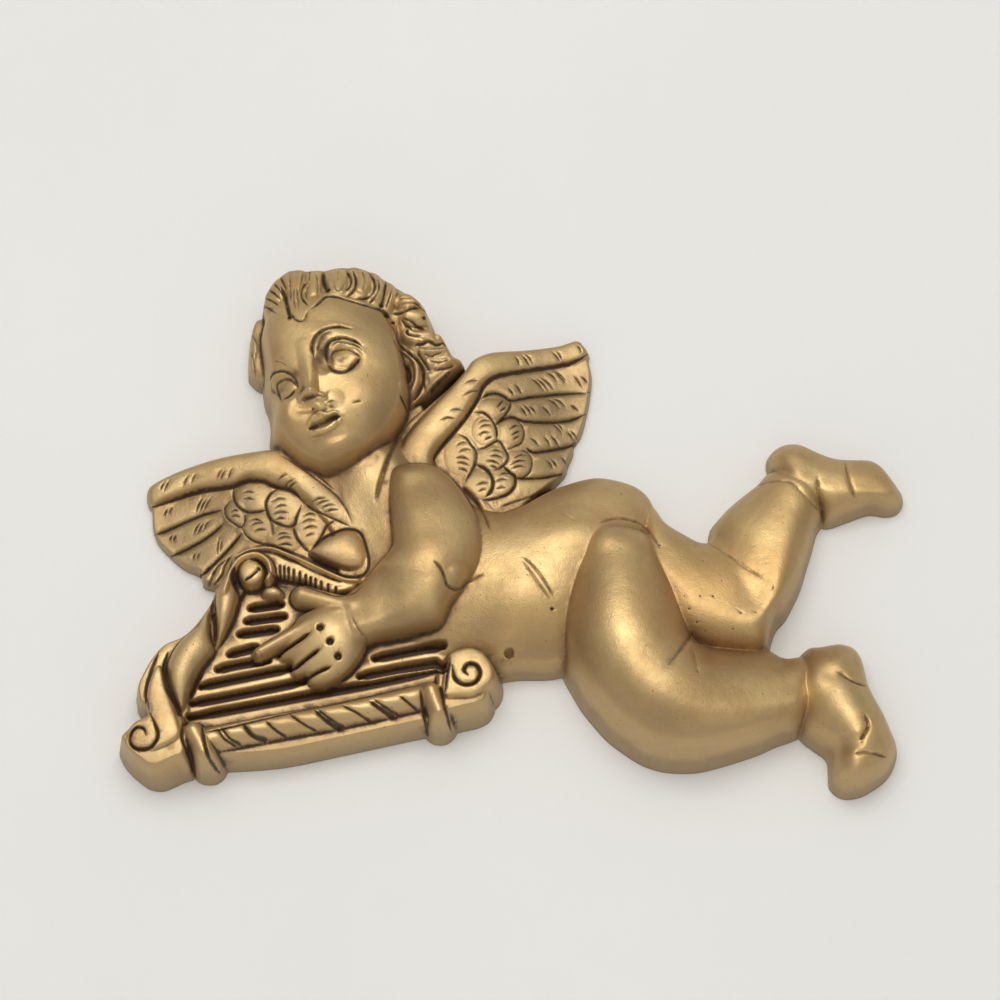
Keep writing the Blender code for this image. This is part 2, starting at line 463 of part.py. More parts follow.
def strand(field, ground, half, rise, points):
    """A lock of hair: a rounded ridge laid on the surface."""
    x, z = land(ground, smooth_line(points, 8 * len(points)))
    part = window(x, z, half + 1)
    away = line_distance(x, z, X[part], Z[part])
    field[part] += rise * np.clip(1.0 - (away / half) ** 2, 0.0, 1.0) ** 0.75


def bar(field, points, seen_height, half, low, high):
    """A half-round bar through sheet points that are seen at a known height."""
    line = smooth_line(points, 8 * len(points))
    x, z = wall_point(line[:, 0], line[:, 1], seen_height)
    part = window(x, z, half + 3)
    away = line_distance(x, z, X[part], Z[part])
    arch = low + (high - low) * np.sqrt(np.clip(1.0 - (away / half) ** 2, 0.0, 1.0))
    shape = np.where(away < half, arch, low - WALL_DRAFT * (away - half))
    field[part] = np.maximum(field[part], shape)


def run_between(start, end):
    """A level that changes smoothly from start to end, each (x, y, value)."""
    ax, az = wall_point(start[0], start[1], 12.0)
    bx, bz = wall_point(end[0], end[1], 12.0)
    ex, ez = bx - ax, bz - az
    share = np.clip(((X - ax) * ex + (Z - az) * ez) / (ex * ex + ez * ez), 0.0, 1.0)
    return start[2] + (end[2] - start[2]) * share * share * (3 - 2 * share)


def carve_all(field, lines):
    ground = field.copy()
    for half, depth, soft, points in lines:
        carve(field, ground, half, depth, soft, points)


def body_forms():
    """Torso, neck, both legs and feet."""
    torso = rounded(TORSO, run_between((400, 560, CHEST_CREST), (560, 560, TORSO_CREST)), 0.35)
    trunk = soft_max(torso, rounded(NECK, NECK_CREST, 0.8), 6.0)
    far = soft_max(rounded(FAR_LEG, FAR_LEG_CREST, 0.35), rounded(FAR_FOOT, FAR_FOOT_CREST, 0.35), 1.5)
    near = np.maximum(rounded(NEAR_LEG, NEAR_LEG_CREST, 0.3), rounded(NEAR_FOOT, NEAR_FOOT_CREST, 0.35))
    return np.maximum(trunk, np.maximum(far, near))


def head_forms():
    hair = np.maximum(rounded(HAIR, HAIR_CREST, 0.45), rounded(SIDE_HAIR, SIDE_HAIR_CREST, 0.7))
    return np.maximum(hair, rounded(FACE, FACE_CREST, 0.2, 17.0))


def wing_forms(field):
    """Both wings: a thin plate, a raised leading band, feathers and overlapping scales."""
    field = np.maximum(field, np.maximum(plate(RIGHT_WING, WING_PLATE), plate(LEFT_WING, WING_PLATE)))
    bands = np.maximum(rounded(RIGHT_BAND, WING_BAND, 0.6, 9.0), rounded(LEFT_BAND, WING_BAND, 0.6, 9.0))
    field = soft_max(field, bands, 0.8)
    ground = field.copy()
    for x, y in SCALES:
        lump(field, ground, x, y, 6.5, 6.0, 1.6)
    lump(field, ground, 345, 552, 9.0, 8.0, 3.0)
    carve_all(field, RIGHT_WING_LINES + LEFT_WING_LINES)
    return field


def harp_forms(field):
    """String board, side frame, base with rail and rope moulding, volutes, collars and sound arm."""
    for outline, top in ((STRING_BOARD, HARP_FLOOR), (HARP_SIDE, HARP_FRAME), (BASE_BLOCK, HARP_BASE),
                         (TOP_RAIL, HARP_RAIL), (LEFT_BLOCK, 23.0), (RIGHT_BLOCK, 24.0)):
        field = np.maximum(field, plate(outline, top, 0.8))
    bar(field, ROPE_AXIS, 26.0, 5.4, 20.5, HARP_ROPE)
    for outline, top, side, base in ((LEFT_VOLUTE, 26.5, 0.7, 20.0), (RIGHT_VOLUTE, 27.0, 0.75, 20.0),
                                     (TOP_VOLUTE, 27.0, 0.6, 16.0), (LEFT_COLLAR, 27.5, 0.85, 0.0),
                                     (RIGHT_COLLAR, 28.0, 0.85, 0.0), (SOUND_ARM, 22.5, 0.85, 15.0),
                                     (LOWER_PILLAR, PILLAR_CREST, 0.55, 15.0),
                                     (UPPER_PILLAR, PILLAR_CREST, 0.55, 15.0)):
        field = np.maximum(field, rounded(outline, top, side, base))
    return field


def harp_carving(field):
    ground = field.copy()
    for points in STRING_SLOTS:
        slot(field, ground, 0.9, HARP_SLOT_FLOOR, points)
    carve_all(field, HARP_LINES)
    axis = smooth_line(ROPE_AXIS, 200)
    for k in range(ROPE_TWISTS):
        x, y = axis[int(199 * (k + 0.6) / ROPE_TWISTS)]
        twist = [(x - 14, y - 9), (x, y), (x + 14, y + 8)]
        carve(field, ground, 1.4, 1.5 + 0.8 * (k % 2), 1.6, twist)


def arm_and_hand(field):
    """The upper arm, the forearm across the strings and the hand that plucks them."""
    upper = rounded(UPPER_ARM, UPPER_ARM_CREST, 0.35, 15.0)
    fore = rounded(FOREARM, run_between((350, 620, WRIST_CREST), (430, 600, 38.0)), 0.12, 14.0)
    arm = soft_max(upper, fore, 9.0)
    hand = rounded(BACK_OF_HAND, HAND_CREST, 0.5, 14.0, 12.0, 1.0)
    fingers = np.full(X.shape, FAR_BELOW)
    for half, high, points in FINGERS:
        bar(fingers, points, 22.0, half, 19.0, high)
    return np.maximum(field, soft_max(arm, soft_max(hand, fingers, 2.0), 4.0))


def head_carving(field):
    ground = field.copy()
    for half, rise, points in LOCKS:
        strand(field, ground, half, rise, points)
    for form in FACE_FORMS:
        lump(field, ground, *form, fullness=2.0)
    ground = field.copy()
    for feature in FACE_FEATURES:
        lump(field, ground, *feature, fullness=1.3)
    carve_all(field, HEAD_LINES)


def body_carving(field):
    ground = field.copy()
    for x, y in KNUCKLE_HOLES:
        lump(field, ground, x, y, 1.8, 1.8, -2.4, 0.0, 1.0)
    lump(field, ground, 509, 653, 2.2, 2.2, -2.6, 0.0, 1.0)
    lump(field, ground, 508, 664, 3.0, 2.2, 1.4)
    lump(field, ground, 458, 576, 5.5, 4.0, 1.5, 20.0)
    lump(field, ground, 845, 745, 8.0, 5.0, -2.0)
    carve_all(field, BODY_LINES)


def relief():
    """Height of the casting above the wall over the whole grid; below zero is off the casting."""
    field = np.maximum(body_forms(), head_forms())
    field = wing_forms(field)
    field = harp_forms(field)
    field = arm_and_hand(field)
    harp_carving(field)
    head_carving(field)
    body_carving(field)
    return np.maximum(field, FAR_BELOW)


def antique_gold():
    material = bpy.data.materials.new("antique_gold")
    material.use_nodes = True
    shader = material.node_tree.nodes["Principled BSDF"]
    shader.inputs["Base Color"].default_value = (0.36, 0.24, 0.09, 1.0)
    shader.inputs["Metallic"].default_value = 0.6
    shader.inputs["Roughness"].default_value = 0.42
    return material


def displaced_sheet(field):
    """A flat grid raised to the relief, standing on the wall plane, in metres."""
    mesh = bpy.data.meshes.new(NAME)
    grid = bmesh.new()
    bmesh.ops.create_grid(grid, x_segments=len(XS) - 1, y_segments=len(ZS) - 1, size=0.5)
    grid.to_mesh(mesh)
    grid.free()
    flat = np.empty(3 * len(mesh.vertices))
    mesh.vertices.foreach_get("co", flat)
    flat = flat.reshape(-1, 3)
    column = np.rint((flat[:, 0] + 0.5) * (len(XS) - 1)).astype(int)
    row = np.rint((flat[:, 1] + 0.5) * (len(ZS) - 1)).astype(int)
    raised = np.stack([XS[column] - ORIGIN_X, -field[row, column], ZS[row] - ORIGIN_Z], 1) * MM
    mesh.vertices.foreach_set("co", raised.ravel())
    return bpy.data.objects.new(NAME, mesh)


def reduced(sheet, triangles):
    """The sheet's mesh with fewer triangles, kept dense where the relief bends."""
    bpy.context.scene.collection.objects.link(sheet)
    collapse = sheet.modifiers.new("collapse", "DECIMATE")
    collapse.ratio = triangles / (2.0 * len(sheet.data.polygons))
    mesh = bpy.data.meshes.new_from_object(sheet.evaluated_get(bpy.context.evaluated_depsgraph_get()))
    bpy.data.objects.remove(sheet, do_unlink=True)
    return mesh


def close_back(mesh):
    """Cut the sheet off at the wall plane and fill the cut with the flat back."""
    work = bmesh.new()
    work.from_mesh(mesh)
    everything = work.verts[:] + work.edges[:] + work.faces[:]
    bmesh.ops.bisect_plane(work, geom=everything, dist=1e-7, plane_co=(0, 0, 0), plane_no=(0, 1, 0),
                           clear_outer=True)
    bmesh.ops.remove_doubles(work, verts=work.verts, dist=WELD)
    bmesh.ops.dissolve_degenerate(work, edges=work.edges, dist=WELD)
    rim = [edge for edge in work.edges if edge.is_boundary]
    bmesh.ops.edgeloop_fill(work, edges=rim)
    bmesh.ops.triangulate(work, faces=work.faces)
    bmesh.ops.recalc_face_normals(work, faces=work.faces)
    work.to_mesh(mesh)
    work.free()


def main():
    for old in list(bpy.data.objects):
        bpy.data.objects.remove(old, do_unlink=True)
    mesh = reduced(displaced_sheet(relief()), SHEET_TRIANGLES)
    close_back(mesh)
    mesh.name = NAME
    mesh.materials.append(antique_gold())
    mesh.shade_smooth()
    mesh.set_sharp_from_angle(angle=math.radians(45))
    plaque = bpy.data.objects.new(NAME, mesh)
    group = bpy.data.collections.new(NAME)
    bpy.context.scene.collection.children.link(group)
    group.objects.link(plaque)


main()
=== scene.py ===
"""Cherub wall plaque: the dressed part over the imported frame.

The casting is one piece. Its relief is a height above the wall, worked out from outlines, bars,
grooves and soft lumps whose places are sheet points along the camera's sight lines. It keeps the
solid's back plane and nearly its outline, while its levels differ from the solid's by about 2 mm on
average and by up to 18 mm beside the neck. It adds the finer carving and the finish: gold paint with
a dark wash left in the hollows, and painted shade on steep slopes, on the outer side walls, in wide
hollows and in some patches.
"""
import math

import bmesh
import bpy
import numpy as np
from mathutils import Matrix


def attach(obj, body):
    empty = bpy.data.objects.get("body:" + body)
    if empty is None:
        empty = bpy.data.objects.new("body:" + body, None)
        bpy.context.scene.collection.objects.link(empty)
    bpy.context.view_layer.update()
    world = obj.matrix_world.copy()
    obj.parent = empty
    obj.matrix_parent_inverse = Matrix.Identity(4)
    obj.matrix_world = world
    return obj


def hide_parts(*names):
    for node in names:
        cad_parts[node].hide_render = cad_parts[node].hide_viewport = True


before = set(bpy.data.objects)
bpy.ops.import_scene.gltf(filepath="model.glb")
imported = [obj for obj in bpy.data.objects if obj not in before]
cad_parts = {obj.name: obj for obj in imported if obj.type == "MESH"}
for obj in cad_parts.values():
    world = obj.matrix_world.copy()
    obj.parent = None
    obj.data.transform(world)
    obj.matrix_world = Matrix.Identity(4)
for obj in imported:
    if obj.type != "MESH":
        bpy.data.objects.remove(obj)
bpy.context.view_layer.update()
NODE = "cherub_plaque"

# Sheet, sight line and grid. Sizes are in millimetres; sheet points are in sheet units.
MM = 0.001
SHEET_UNIT = 0.4
SHEET_CENTRE = (500.0, 500.0)
SIGHT_DISTANCE = 1200.0
SIGHT_TILT = math.radians(20.0)
ORIGIN_X = -5.0
ORIGIN_Z = -29.0
WALL_DRAFT = 7.0
FIELD_LEFT, FIELD_RIGHT = -156.0, 168.0
FIELD_LOW, FIELD_HIGH = -132.0, 104.0
FAR_BELOW = -12.0
LIMB_SOFTNESS = 1.8
COS, SIN, TAN = math.cos(SIGHT_TILT), math.sin(SIGHT_TILT), math.tan(SIGHT_TILT)


# seen outlines on the sheet
TORSO = [
    (440, 478), (470, 500), (497, 513), (515, 508), (530, 500), (545, 491), (560, 485), (590, 476),
    (620, 479), (643, 490), (655, 508), (662, 540), (655, 580), (640, 620), (600, 660), (560, 679),
    (520, 681), (498, 684), (450, 692), (390, 670), (350, 630), (340, 580), (352, 530), (385, 482),
    (410, 470)]
ARM = [
    (390, 470), (400, 463), (415, 460), (430, 461), (440, 466), (452, 475), (460, 485), (470, 500),
    (483, 527), (488, 555), (485, 575), (478, 588), (468, 602), (455, 617), (443, 636), (420, 641),
    (400, 645), (380, 648), (366, 652), (350, 645), (342, 625), (338, 605), (345, 594), (355, 585),
    (375, 565), (386, 554), (390, 545), (387, 510), (388, 482)]
NEAR_LEG = [
    (600, 522), (590, 527), (580, 537), (570, 551), (563, 567), (557, 585), (553, 620), (556, 655),
    (563, 680), (570, 693), (580, 710), (590, 723), (605, 740), (620, 752), (640, 765), (660, 772),
    (680, 774), (700, 773), (720, 768), (740, 762), (760, 755), (775, 748), (800, 738), (811, 720),
    (820, 690), (818, 675), (812, 662), (802, 650), (785, 650), (775, 645), (765, 640), (740, 639),
    (720, 639), (700, 640), (694, 634), (687, 615), (680, 595), (672, 575), (665, 560), (659, 546),
    (650, 537), (640, 529), (620, 523)]
NEAR_FOOT = [
    (802, 648), (812, 643), (833, 638), (845, 641), (855, 648), (862, 660), (866, 675), (870, 690),
    (878, 705), (886, 720), (893, 738), (897, 752), (893, 770), (885, 782), (873, 791), (860, 798),
    (845, 800), (835, 796), (828, 787), (827, 770), (824, 760), (815, 753), (800, 741), (790, 720),
    (790, 690), (795, 662)]
FAR_LEG = [
    (640, 500), (655, 505), (662, 516), (670, 525), (685, 533), (703, 541), (707, 531), (715, 519),
    (725, 507), (740, 494), (752, 485), (760, 476), (768, 470), (790, 468), (812, 476), (823, 490),
    (825, 505), (823, 525), (820, 530), (816, 537), (812, 552), (806, 572), (800, 592), (793, 607),
    (785, 622), (776, 632), (771, 645), (765, 665), (740, 672), (700, 668), (660, 650), (640, 600),
    (635, 540)]
FAR_FOOT = [
    (765, 465), (769, 453), (778, 445), (788, 442), (800, 443), (812, 449), (825, 454), (840, 457),
    (865, 457), (875, 461), (885, 470), (893, 482), (900, 493), (903, 501), (901, 510), (895, 516),
    (885, 518), (870, 516), (858, 519), (845, 524), (825, 530), (815, 522), (800, 508), (780, 495),
    (768, 480)]
HAIR = [
    (262, 318), (264, 308), (266, 300), (270, 292), (276, 285), (283, 278), (292, 273), (306, 272),
    (320, 274), (333, 272), (347, 270), (360, 269), (375, 275), (390, 281), (400, 290), (412, 295),
    (425, 306), (434, 319), (440, 336), (450, 343), (456, 358), (465, 368), (448, 384), (430, 400),
    (410, 418), (370, 450), (325, 460), (291, 445), (276, 430), (273, 410), (266, 375), (262, 345)]
SIDE_HAIR = [
    (260, 319), (254, 326), (251, 335), (249, 350), (248, 380), (251, 386), (256, 391), (262, 394),
    (280, 400), (285, 360), (278, 325)]
FACE = [
    (262, 334), (262, 345), (264, 360), (266, 375), (268, 390), (272, 400), (274, 415), (273, 430),
    (276, 440), (282, 448), (291, 457), (303, 466), (315, 471), (325, 474), (340, 472), (355, 466),
    (370, 457), (385, 446), (395, 433), (403, 418), (407, 400), (407, 380), (404, 360), (399, 340),
    (391, 321), (376, 304), (352, 294), (325, 291), (298, 294), (278, 304), (266, 318)]
EAR_HAIR = [
    (396, 300), (410, 296), (424, 306), (433, 319), (439, 336), (450, 343), (457, 358), (464, 368),
    (448, 383), (430, 397), (418, 407), (410, 414), (404, 408), (402, 390), (400, 360), (394, 330)]
SHOULDERS = [
    (290, 452), (340, 440), (400, 410), (425, 400), (430, 440), (425, 480), (420, 600), (340, 600),
    (330, 540), (300, 500)]
RIGHT_BAND = [
    (465, 368), (472, 358), (487, 351), (500, 349), (520, 348), (540, 346), (560, 343), (577, 338),
    (585, 345), (588, 354), (575, 363), (545, 370), (520, 374), (500, 377), (484, 385), (476, 400),
    (463, 422), (445, 442), (438, 450), (433, 462), (440, 480), (425, 505), (400, 510), (386, 495),
    (387, 478), (393, 460), (403, 440), (415, 424), (430, 408), (447, 390)]
LEFT_BAND = [
    (147, 492), (157, 481), (185, 468), (220, 457), (260, 450), (275, 449), (290, 452), (312, 467),
    (335, 487), (343, 497), (350, 508), (355, 522), (345, 525), (325, 519), (300, 498), (290, 491),
    (272, 486), (250, 481), (233, 488), (197, 493), (165, 504), (152, 508)]
LEAF = [
    (309, 556), (316, 547), (325, 540), (340, 533), (355, 531), (363, 540), (367, 552), (368, 565),
    (362, 573), (348, 574), (332, 569)]
HAND = [
    (368, 599), (345, 597), (330, 601), (314, 610), (298, 618), (290, 632), (285, 645), (279, 655),
    (281, 663), (289, 665), (292, 668), (291, 675), (295, 680), (303, 680), (307, 682), (310, 688),
    (318, 691), (330, 689), (347, 680), (361, 665), (368, 650), (370, 636), (376, 618)]
SOUND_ARM = [
    (250, 552), (265, 549), (280, 552), (295, 559), (310, 563), (325, 572), (340, 578), (355, 578),
    (366, 573), (370, 582), (362, 590), (350, 597), (335, 599), (318, 594), (300, 586), (280, 584),
    (268, 574)]
LOWER_PILLAR = [
    (208, 607), (196, 628), (181, 640), (171, 655), (167, 670), (168, 685), (173, 700), (181, 714),
    (186, 712), (190, 698), (197, 682), (207, 668), (216, 655), (213, 640), (212, 620)]
UPPER_PILLAR = [
    (228, 572), (220, 585), (215, 600), (216, 620), (217, 640), (214, 655), (222, 646), (231, 632),
    (238, 615), (241, 600), (238, 585)]
TOP_VOLUTE = [
    (238, 574), (240, 566), (246, 560), (253, 559), (260, 562), (265, 569), (266, 577), (262, 584),
    (255, 588), (247, 588), (241, 583)]
MOUND = [(262, 598), (264, 589), (272, 585), (281, 589), (285, 598), (274, 602)]
LEFT_VOLUTE = [
    (143, 717), (136, 720), (130, 726), (127, 733), (128, 740), (132, 746), (139, 750), (152, 751),
    (167, 746), (178, 739), (181, 731), (177, 715), (170, 695), (164, 672), (157, 664), (149, 682),
    (147, 700), (150, 712)]
RIGHT_VOLUTE = [
    (443, 697), (444, 670), (447, 655), (458, 648), (470, 646), (482, 650), (490, 659), (495, 671),
    (494, 682), (486, 691), (474, 698), (458, 699)]
LEFT_COLLAR = (3.9, [(193, 729), (199, 740), (204, 750)])
RIGHT_COLLAR = (3.6, [(431, 689), (435, 700), (439, 710)])

# outlines with the height at which each corner is seen, (x, y, height)
RIGHT_WING = [
    (465, 368, 14), (472, 358, 14), (487, 351, 13), (520, 348, 10), (560, 343, 8), (577, 338, 7),
    (585, 345, 6), (590, 365, 4), (592, 378, 4), (589, 405, 2), (584, 428, 0), (580, 440, 0), (574, 447, 2),
    (573, 455, 2), (568, 468, 0), (562, 480, 2), (530, 505, 8), (500, 530, 8), (440, 520, 8), (400, 480, 8),
    (400, 437, 8), (425, 410, 9), (455, 380, 13)]
LEFT_WING = [
    (147, 492, 3), (157, 481, 6), (185, 468, 8), (220, 457, 10), (260, 450, 12), (290, 452, 13),
    (325, 478, 13), (345, 500, 12), (360, 545, 9), (365, 575, 9), (300, 600, 9), (213, 592, 0),
    (203, 584, 0), (200, 577, 1), (185, 571, 0), (170, 558, 1), (158, 545, 0), (153, 530, 0), (152, 509, 1)]
STRING_BOARD = [
    (190, 762, 0), (440, 735, 0), (450, 650, 16), (420, 600, 16), (300, 560, 16), (255, 575, 16),
    (230, 610, 16), (185, 700, 16)]
HARP_SIDE = [
    (228, 565, 18), (218, 580, 16), (212, 592, 10), (208, 607, 8), (194, 626, 9), (180, 634, 14),
    (163, 645, 10), (150, 662, 7), (139, 685, 4), (136, 697, 2), (137, 706, 0), (144, 722, 0),
    (190, 750, 18), (196, 690, 18), (216, 660, 18), (240, 606, 18), (268, 575, 18), (262, 556, 18),
    (245, 552, 18)]
BASE_BLOCK = [
    (200, 774, 0), (219, 773, 0), (280, 769, 0), (340, 757, 0), (428, 738, 0), (445, 735, 0),
    (440, 680, 25), (420, 681, 25), (380, 690, 25), (340, 697, 25), (300, 704, 25), (240, 714, 25),
    (185, 721, 25)]
TOP_RAIL = [
    (190, 735, 25), (230, 726, 25), (290, 713, 25), (340, 703, 25), (430, 682, 25), (430, 677, 25),
    (380, 689, 25), (300, 703, 25), (240, 713, 25), (185, 720, 25)]
LEFT_BLOCK = [
    (150, 712, 26), (143, 717, 22), (135, 721, 18), (128, 728, 13), (122, 738, 8), (119, 748, 3),
    (120, 757, 0), (124, 766, 0), (131, 775, 0), (140, 783, 0), (150, 790, 0), (162, 792, 0), (172, 789, 0),
    (185, 783, 0), (196, 778, 0), (196, 740, 24), (185, 705, 26)]
RIGHT_BLOCK = [
    (432, 657, 22), (450, 651, 22), (470, 646, 22), (489, 656, 20), (495, 668, 14), (498, 685, 5),
    (497, 700, 0), (495, 712, 0), (490, 722, 0), (480, 728, 0), (468, 731, 0), (455, 734, 0), (432, 739, 0)]

# carved lines: (half width, depth, soft width, points)
WING_LINES = [
    (0.81, 1.6, 0, [(588, 354), (575, 362), (560, 366), (520, 372), (496, 377), (484, 386), (478, 399),
        (466, 418), (452, 435), (440, 449), (434, 459), (436, 465)]),
    (0.7, 1.4, 1.4, [(482, 398), (488, 394), (496, 393), (504, 396), (511, 400), (530, 397), (560, 394),
        (590, 393)]),
    (0.7, 1.4, 1.4, [(495, 425), (503, 419), (512, 417), (525, 421), (550, 422), (570, 420), (586, 414)]),
    (0.7, 1.4, 1.4, [(526, 448), (534, 452), (550, 450), (566, 447), (576, 443)]),
    (0.7, 1.4, 1.4, [(515, 478), (530, 478), (545, 477), (562, 474)]),
    (0.58, 1.1, 0, [(474, 412), (483, 413), (491, 419), (496, 428), (497, 441)]),
    (0.58, 1.1, 0, [(511, 401), (509, 409), (504, 416), (496, 424)]),
    (0.52, 0.87, 0, [(516, 419), (522, 426), (524, 434), (521, 443), (513, 447), (506, 450)]),
    (0.58, 1.1, 0, [(459, 434), (466, 438), (471, 445), (476, 452), (475, 464), (470, 474), (464, 483)]),
    (0.58, 1.1, 0, [(476, 450), (486, 447), (498, 441), (505, 450), (508, 458), (503, 466), (492, 472)]),
    (0.52, 0.87, 0, [(520, 450), (528, 453), (532, 462), (529, 473), (520, 478)]),
    (0.75, 1.4, 0, [(476, 465), (484, 468), (490, 474), (493, 482), (491, 491), (486, 497)]),
    (0.75, 1.5, 0, [(503, 466), (509, 472), (515, 477), (514, 487), (506, 495), (492, 499), (482, 500)]),
    (0.58, 1.2, 0, [(463, 488), (470, 496), (480, 506)]),
    (0.58, 0.87, 0, [(500, 507), (520, 500), (548, 492)]),
    (0.81, 1.6, 0, [(152, 508), (180, 498), (205, 491), (232, 487), (245, 482), (262, 481), (275, 487),
        (292, 491), (305, 504)]),
    (0.7, 1.4, 1.4, [(155, 535), (170, 529), (190, 520), (205, 514), (222, 510)]),
    (0.7, 1.4, 1.4, [(170, 557), (185, 550), (200, 542), (213, 533), (224, 523)]),
    (0.7, 1.4, 1.4, [(200, 577), (210, 568), (224, 554), (234, 543), (242, 533)]),
    (0.58, 0.87, 1, [(208, 588), (212, 578), (218, 566), (226, 560)]),
    (0.52, 0.99, 0.6, [(231, 556), (225, 565), (222, 575), (214, 585)]),
    (0.64, 1.1, 0, [(234, 487), (234, 498), (238, 506), (247, 512), (258, 512), (266, 510)]),
    (0.64, 1.2, 0, [(278, 488), (270, 495), (266, 504), (268, 513), (273, 521), (285, 526), (294, 525),
        (297, 516), (302, 505)]),
    (0.52, 0.93, 0, [(230, 501), (225, 508), (226, 516), (232, 522), (241, 527), (245, 521), (245, 513)]),
    (0.52, 0.87, 0, [(266, 512), (272, 524), (273, 536)]),
    (0.52, 0.93, 0, [(241, 527), (249, 538), (262, 544), (280, 548), (300, 558)]),
    (0.58, 1.1, 0, [(293, 526), (297, 538), (303, 546), (309, 552)]),
    (0.58, 0.99, 0, [(305, 504), (316, 511), (330, 517), (350, 526)]),
    (0.58, 0.99, 0, [(335, 520), (327, 526), (322, 536), (314, 548)]),
    (0.7, 1.4, 0, [(309, 553), (320, 541), (334, 533), (348, 529), (360, 532), (366, 546), (369, 564),
        (363, 575), (348, 577), (330, 571), (312, 560)]),
    (0.46, 0.74, 0, [(281, 455), (300, 467), (318, 480), (335, 494), (346, 509), (352, 523)])]
SHORT_CUTS = [
    (464, 384, 479, 381), (463, 396, 478, 391), (449, 411, 464, 411), (440, 420, 456, 419),
    (515, 356, 520, 366), (521, 354, 530, 367), (525, 354, 533, 363), (552, 352, 560, 362),
    (557, 351, 562, 360), (577, 345, 582, 353), (580, 342, 586, 351), (508, 388, 514, 396),
    (515, 384, 522, 395), (530, 378, 545, 392), (536, 379, 549, 391), (541, 378, 554, 390),
    (547, 373, 557, 381), (553, 371, 566, 381), (556, 374, 566, 384), (573, 375, 582, 388),
    (580, 376, 588, 384), (520, 407, 527, 416), (524, 405, 532, 415), (530, 407, 536, 413),
    (542, 407, 551, 416), (547, 399, 560, 409), (553, 399, 565, 406), (570, 405, 579, 412),
    (553, 424, 562, 434), (557, 423, 563, 431), (530, 438, 540, 447), (544, 437, 551, 447),
    (551, 436, 559, 447), (567, 432, 574, 441), (571, 431, 577, 439), (548, 461, 553, 469),
    (552, 460, 557, 467), (562, 457, 567, 467), (497, 408, 504, 400), (500, 412, 507, 407),
    (160, 491, 165, 481), (164, 492, 170, 479), (183, 488, 188, 475), (191, 484, 196, 473),
    (216, 480, 222, 469), (220, 481, 225, 470), (228, 480, 232, 468), (277, 481, 288, 474),
    (284, 487, 295, 479), (288, 489, 297, 482), (312, 502, 326, 498), (315, 506, 330, 501),
    (320, 509, 336, 505), (324, 513, 338, 510), (195, 514, 203, 497), (199, 514, 207, 498),
    (203, 513, 211, 497), (168, 515, 173, 507), (164, 516, 168, 509), (193, 535, 200, 523),
    (197, 535, 204, 523), (203, 531, 210, 520), (217, 556, 219, 537), (220, 552, 222, 540),
    (173, 542, 176, 535), (169, 541, 172, 536), (193, 560, 195, 553), (197, 560, 199, 553),
    (212, 577, 216, 570), (206, 574, 210, 567), (327, 404, 334, 401), (352, 406, 363, 404),
    (478, 423, 490, 420), (479, 428, 491, 425), (477, 436, 490, 432), (484, 441, 493, 437),
    (509, 430, 520, 425), (511, 436, 522, 431), (513, 440, 521, 436), (456, 446, 467, 442),
    (458, 453, 471, 449), (455, 458, 470, 460), (456, 463, 470, 466), (459, 469, 468, 472),
    (491, 451, 503, 452), (490, 456, 503, 458), (486, 461, 501, 465), (490, 466, 499, 470),
    (514, 458, 528, 455), (510, 465, 528, 461), (511, 469, 527, 467), (476, 486, 489, 483),
    (478, 492, 487, 489), (499, 475, 511, 474), (494, 482, 509, 480), (496, 489, 506, 488),
    (242, 493, 255, 493), (244, 499, 254, 500), (271, 502, 287, 499), (274, 508, 288, 506),
    (271, 515, 289, 513), (275, 520, 286, 519), (229, 517, 241, 517), (231, 511, 239, 511),
    (249, 520, 263, 522), (250, 526, 265, 523), (253, 532, 267, 530), (276, 535, 289, 534),
    (276, 540, 293, 538), (277, 546, 294, 546), (303, 516, 316, 514), (301, 523, 316, 520),
    (302, 530, 318, 527), (305, 537, 315, 534)]
